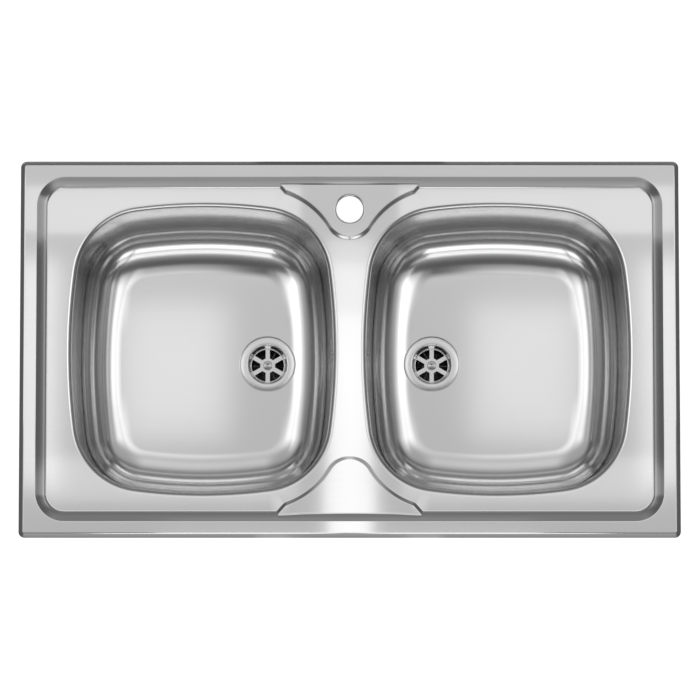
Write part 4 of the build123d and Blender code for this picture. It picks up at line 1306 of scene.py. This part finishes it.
def make_clamp_nut():
    """Round nut with a flange under the arm and an edge rolled over it."""
    flange_top = nut_low + nut_flange[1]
    lip_low = flange_top + arm_sheet + 2 * arm_gap
    profile = [(nut_bore, nut_low + nut_height), (nut_radius, nut_low + nut_height),
               (nut_radius, lip_low + nut_lip[1]), (nut_lip[0], lip_low + nut_lip[1]), (nut_lip[0], lip_low),
               (nut_radius, lip_low), (nut_radius, flange_top), (nut_flange[0], flange_top),
               (nut_flange[0], nut_low), (nut_bore, nut_low)]
    return [turned(eased(profile, 0.3 * mm), (0, 0), 48)]


def make_clamp_arm():
    """Arm about the nut, lying along +X, with teeth turned up at its tip."""
    low = nut_low + nut_flange[1] + arm_gap
    half = arm_width / 2

    def outline(inset):
        r = half - inset
        points = [(r * math.cos(a), r * math.sin(a)) for a in (math.pi / 2 * (1 + i / 12) for i in range(25))]
        corner = 0.7 * mm
        for side in (-1, 1):
            cx, cy = arm_length - corner, side * (half - corner)
            points += [(cx + (corner - inset) * math.cos(a), cy + (corner - inset) * math.sin(a))
                       for a in (math.pi / 2 * ((side - 1) / 2 + i / 4) for i in range(5))]
        return points

    skins = [plate(outline, low, low + arm_sheet, 0.45 * mm,
                   lambda d: circle(nut_radius + arm_gap + d, steps=40))]
    depth, height, chamfer = tooth
    width = arm_width / (2 * arm_teeth - 1)
    for k in range(arm_teeth):
        y0 = -half + 2 * k * width
        y1 = y0 + width
        rings = []
        base, tip = low + arm_sheet, low + arm_sheet + height
        for z, cut, narrow in ((base - tooth_root, 0.0, 0.0), (tip - chamfer, 0.0, 0.0),
                               (tip - 0.2 * mm, chamfer * 0.9, 0.0), (tip, chamfer * 1.1, 0.25 * mm)):
            rings.append([(px, py, z) for px, py in rounded_rectangle(
                arm_length - depth + cut, arm_length - cut, y0 + narrow, y1 - narrow, 0.3 * mm, steps=2)])
        skins.append(skin_through(rings))
    return skins


zinc = plain_metal("bright_zinc_plate", (0.62, 0.63, 0.65), 0.3, 500.0, 0.05)
clamps = [((-clamp_at[0], -rail_face[1]), 180), ((clamp_at[0], -rail_face[1]), 180),
          ((rail_face[0], -clamp_at[1]), -90), ((rail_face[0], clamp_at[1]), -90),
          ((clamp_at[0], rail_face[1]), 0), ((-clamp_at[0], rail_face[1]), 0),
          ((-rail_face[0], clamp_at[1]), 90), ((-rail_face[0], -clamp_at[1]), 90)]
brackets = [placed(skin, math.radians(turn), *place) for place, turn in clamps for skin in make_bracket()]
add_piece("folded_clamp_brackets", joined("brackets", *brackets), "sink",
          ["clamp_brackets"], zinc)
for number, (place, turn) in enumerate(clamps, 1):
    for piece, make in (("screw", make_clamp_screw), ("nut", make_clamp_nut), ("arm", make_clamp_arm)):
        skins = [placed(placed(skin, 0, 0, screw_axis), math.radians(turn), *place) for skin in make()]
        node = f"clamp_{number}_{piece}"
        add_piece(f"{node}_mesh", joined(piece, *skins), node, [node], zinc)

# ---------------------------------------------------------------- floor
# A plain sheet of pale paper, just under the waste outlets. It glows for the camera and a little in the steel,
# but not inside the outlets, which lead to a dark drain, and from below it can't be seen.
floor_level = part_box("left_waste_body")[0].z - 0.5 * mm
floor_half = 6.0
paper_colour = (0.9, 0.9, 0.9)
outlet_shade_radius = 26 * mm
glow_in_steel = 0.25
glow_strength = 0.8                              # with the light that the paper gets, the floor is white

floor_mesh = mesh_from("floor", [(x * floor_half, y * floor_half, floor_level)
                                 for x, y in ((-1, -1), (1, -1), (1, 1), (-1, 1))], [[0, 1, 2, 3]])
floor = bpy.data.objects.new("floor", floor_mesh)
bpy.context.scene.collection.objects.link(floor)
paper, nodes, links, shader = new_material("white_paper")
shader.inputs["Base Color"].default_value = (*paper_colour, 1)
shader.inputs["Roughness"].default_value = 0.9
floor_mesh.materials.append(paper)


def math_node(operation, a, b=None):
    """Result of a calculation with one or two sockets or numbers, among the nodes being set up."""
    node = nodes.new("ShaderNodeMath")
    node.operation = operation
    for socket, value in zip(node.inputs, (a, b)):
        if isinstance(value, (int, float)):
            socket.default_value = value
        elif value is not None:
            links.new(value, socket)
    return node.outputs[0]


glow = nodes.new("ShaderNodeEmission")
rays = nodes.new("ShaderNodeLightPath")
place = nodes.new("ShaderNodeNewGeometry")
spot = nodes.new("ShaderNodeSeparateXYZ")
links.new(place.outputs["Position"], spot.inputs["Vector"])
from_outlet = math_node("SUBTRACT", math_node("ABSOLUTE", spot.outputs["X"]), abs(drains["left"]))
reach = math_node("SQRT", math_node("ADD", math_node("MULTIPLY", from_outlet, from_outlet),
                                    math_node("MULTIPLY", spot.outputs["Y"], spot.outputs["Y"])))
outside = math_node("GREATER_THAN", reach, outlet_shade_radius)
seen = math_node("MAXIMUM", rays.outputs["Is Camera Ray"],
                 math_node("MULTIPLY", rays.outputs["Is Glossy Ray"], glow_in_steel))
links.new(math_node("MULTIPLY", math_node("MULTIPLY", seen, outside), glow_strength), glow.inputs["Strength"])
both = nodes.new("ShaderNodeAddShader")
links.new(shader.outputs["BSDF"], both.inputs[0])
links.new(glow.outputs["Emission"], both.inputs[1])
clear = nodes.new("ShaderNodeBsdfTransparent")
one_sided = nodes.new("ShaderNodeMixShader")
links.new(place.outputs["Backfacing"], one_sided.inputs["Fac"])
links.new(both.outputs["Shader"], one_sided.inputs[1])
links.new(clear.outputs["BSDF"], one_sided.inputs[2])
links.new(one_sided.outputs["Shader"], nodes["Material Output"].inputs["Surface"])

# ---------------------------------------------------------------- light
# A soft studio that is white to the camera itself. For the sink it is dim, with pale panels overhead and at the
# horizon, and soft boxes close over the sink whose light falls on single parts of it.
studio_dimness = 0.11
# angles in degrees from the zenith, towards +X and towards +Y, the width of the soft edge, and the strength
panels = [
    ((-28, 28), (3, 16.5), 15, 0.66),            # overhead, where the flat steel looks
    ((-8, 8), (18, 41), 20, 0.80),
    ((-44, -10), (-8, 40), 16, 0.36),            # beside it
    ((10, 44), (-8, 40), 16, 0.36),
    ((-32, 32), (-47, -28), 20, 0.37),           # towards the user
    ((-42, 42), (50, 72), 20, 0.14),             # horizon behind the sink and in front of it
    ((-60, 60), (-76, -57), 24, 0.50),
    ((-80, -58), (-20, 62), 4, 0.10),            # horizon at the sides
    ((58, 80), (-20, 62), 4, 0.10),
]
scene = bpy.context.scene
scene.view_settings.view_transform = "Standard"
world = bpy.data.worlds.new("studio")
scene.world = world
world.use_nodes = True
nodes, links = world.node_tree.nodes, world.node_tree.links
background = nodes["Background"]
background.inputs["Color"].default_value = (1, 1, 1, 1)
way = nodes.new("ShaderNodeTexCoord")
parts = nodes.new("ShaderNodeSeparateXYZ")
links.new(way.outputs["Generated"], parts.inputs["Vector"])
angle_x = math_node("ARCTAN2", parts.outputs["X"], parts.outputs["Z"])
angle_y = math_node("ARCTAN2", parts.outputs["Y"], parts.outputs["Z"])


def soft_range(angle, low, high, edge):
    """1 between two angles in degrees, fading to 0 over the edge's width."""
    sides = []
    for middle, before, after in ((low, 0.0, 1.0), (high, 1.0, 0.0)):
        node = nodes.new("ShaderNodeMapRange")
        node.interpolation_type = "SMOOTHSTEP"
        node.inputs["From Min"].default_value = math.radians(middle - edge / 2)
        node.inputs["From Max"].default_value = math.radians(middle + edge / 2)
        node.inputs["To Min"].default_value = before
        node.inputs["To Max"].default_value = after
        links.new(angle, node.inputs["Value"])
        sides.append(node.outputs["Result"])
    return math_node("MULTIPLY", *sides)


def panel(x, y, edge, strength):
    """Light panel across a range of angles in X and in Y."""
    both = math_node("MULTIPLY", soft_range(angle_x, *x, edge), soft_range(angle_y, *y, edge))
    return math_node("MULTIPLY", both, strength)


total = studio_dimness
for x, y, edge, strength in panels:
    total = math_node("ADD", panel(x, y, edge, strength), total)
rays = nodes.new("ShaderNodeLightPath")
shown = nodes.new("ShaderNodeMix")
shown.data_type = "FLOAT"
links.new(rays.outputs["Is Camera Ray"], shown.inputs["Factor"])
links.new(total, shown.inputs["A"])
shown.inputs["B"].default_value = 1.0
links.new(shown.outputs["Result"], background.inputs["Strength"])


def lamp(name, place, size, strength, tilt=0.0, spread=180.0):
    """Soft box over the sink that the camera can't see, its place and size in metres. Strength is its radiance,
    tilt its lean in degrees towards -X, and spread the full angle that it shines into."""
    light = bpy.data.lights.new(name, "AREA")
    light.shape = "RECTANGLE"
    light.size, light.size_y = size
    light.energy = strength * math.pi * size[0] * size[1]
    if spread < 180:
        half = math.radians(spread / 2)
        light.spread = 2 * half
        light.energy *= (math.tan(half) - half) / math.tan(half)
    box = bpy.data.objects.new(name, light)
    box.location = place
    box.rotation_euler = (0, math.radians(tilt), 0)
    box.visible_camera = False
    bpy.context.scene.collection.objects.link(box)


for side in (-1, 1):
    lamp("rim_lamp", (side * 0.437, 0.03, 0.47), (0.07, 0.32), 0.5)
    lamp("front_lamp", (side * 0.14, -0.32, 0.345), (0.24, 0.19), 0.95)
    lamp("low_front_lamp", (side * 0.19, -0.58, 0.30), (0.32, 0.34), 1.3)
    lamp("back_deck_lamp", (side * 0.25, 0.202, 0.12), (0.37, 0.062), 0.28)
    lamp("front_deck_lamp", (side * 0.24, -0.142, 0.25), (0.34, 0.06), 0.24)
    lamp("outer_lamp", (side * 0.54, 0.10, 0.22), (0.40, 0.34), 0.9, side * 37, 56)
    lamp("far_outer_lamp", (side * 0.40, 0.08, 0.55), (0.34, 0.20), 1.1, side * 26, 40)
    lamp("far_inner_lamp", (side * 0.07, 0.08, 0.55), (0.20, 0.20), 1.0, side * -24, 36)
    lamp("inner_lamp", (side * 0.25, 0.08, 0.55), (0.16, 0.20), 1.1, side * -10, 42)
lamp("middle_lamp", (0, -0.10, 0.24), (0.06, 0.36), 0.87, 0, 90)
lamp("middle_back_lamp", (0, 0.114, 0.24), (0.06, 0.068), 0.72, 0, 70)
lamp("tap_side_lamp", (0, 0.165, 0.24), (0.06, 0.034), 0.42, 0, 70)
lamp("back_lamp", (0, 0.445, 0.30), (0.52, 0.28), 0.09)
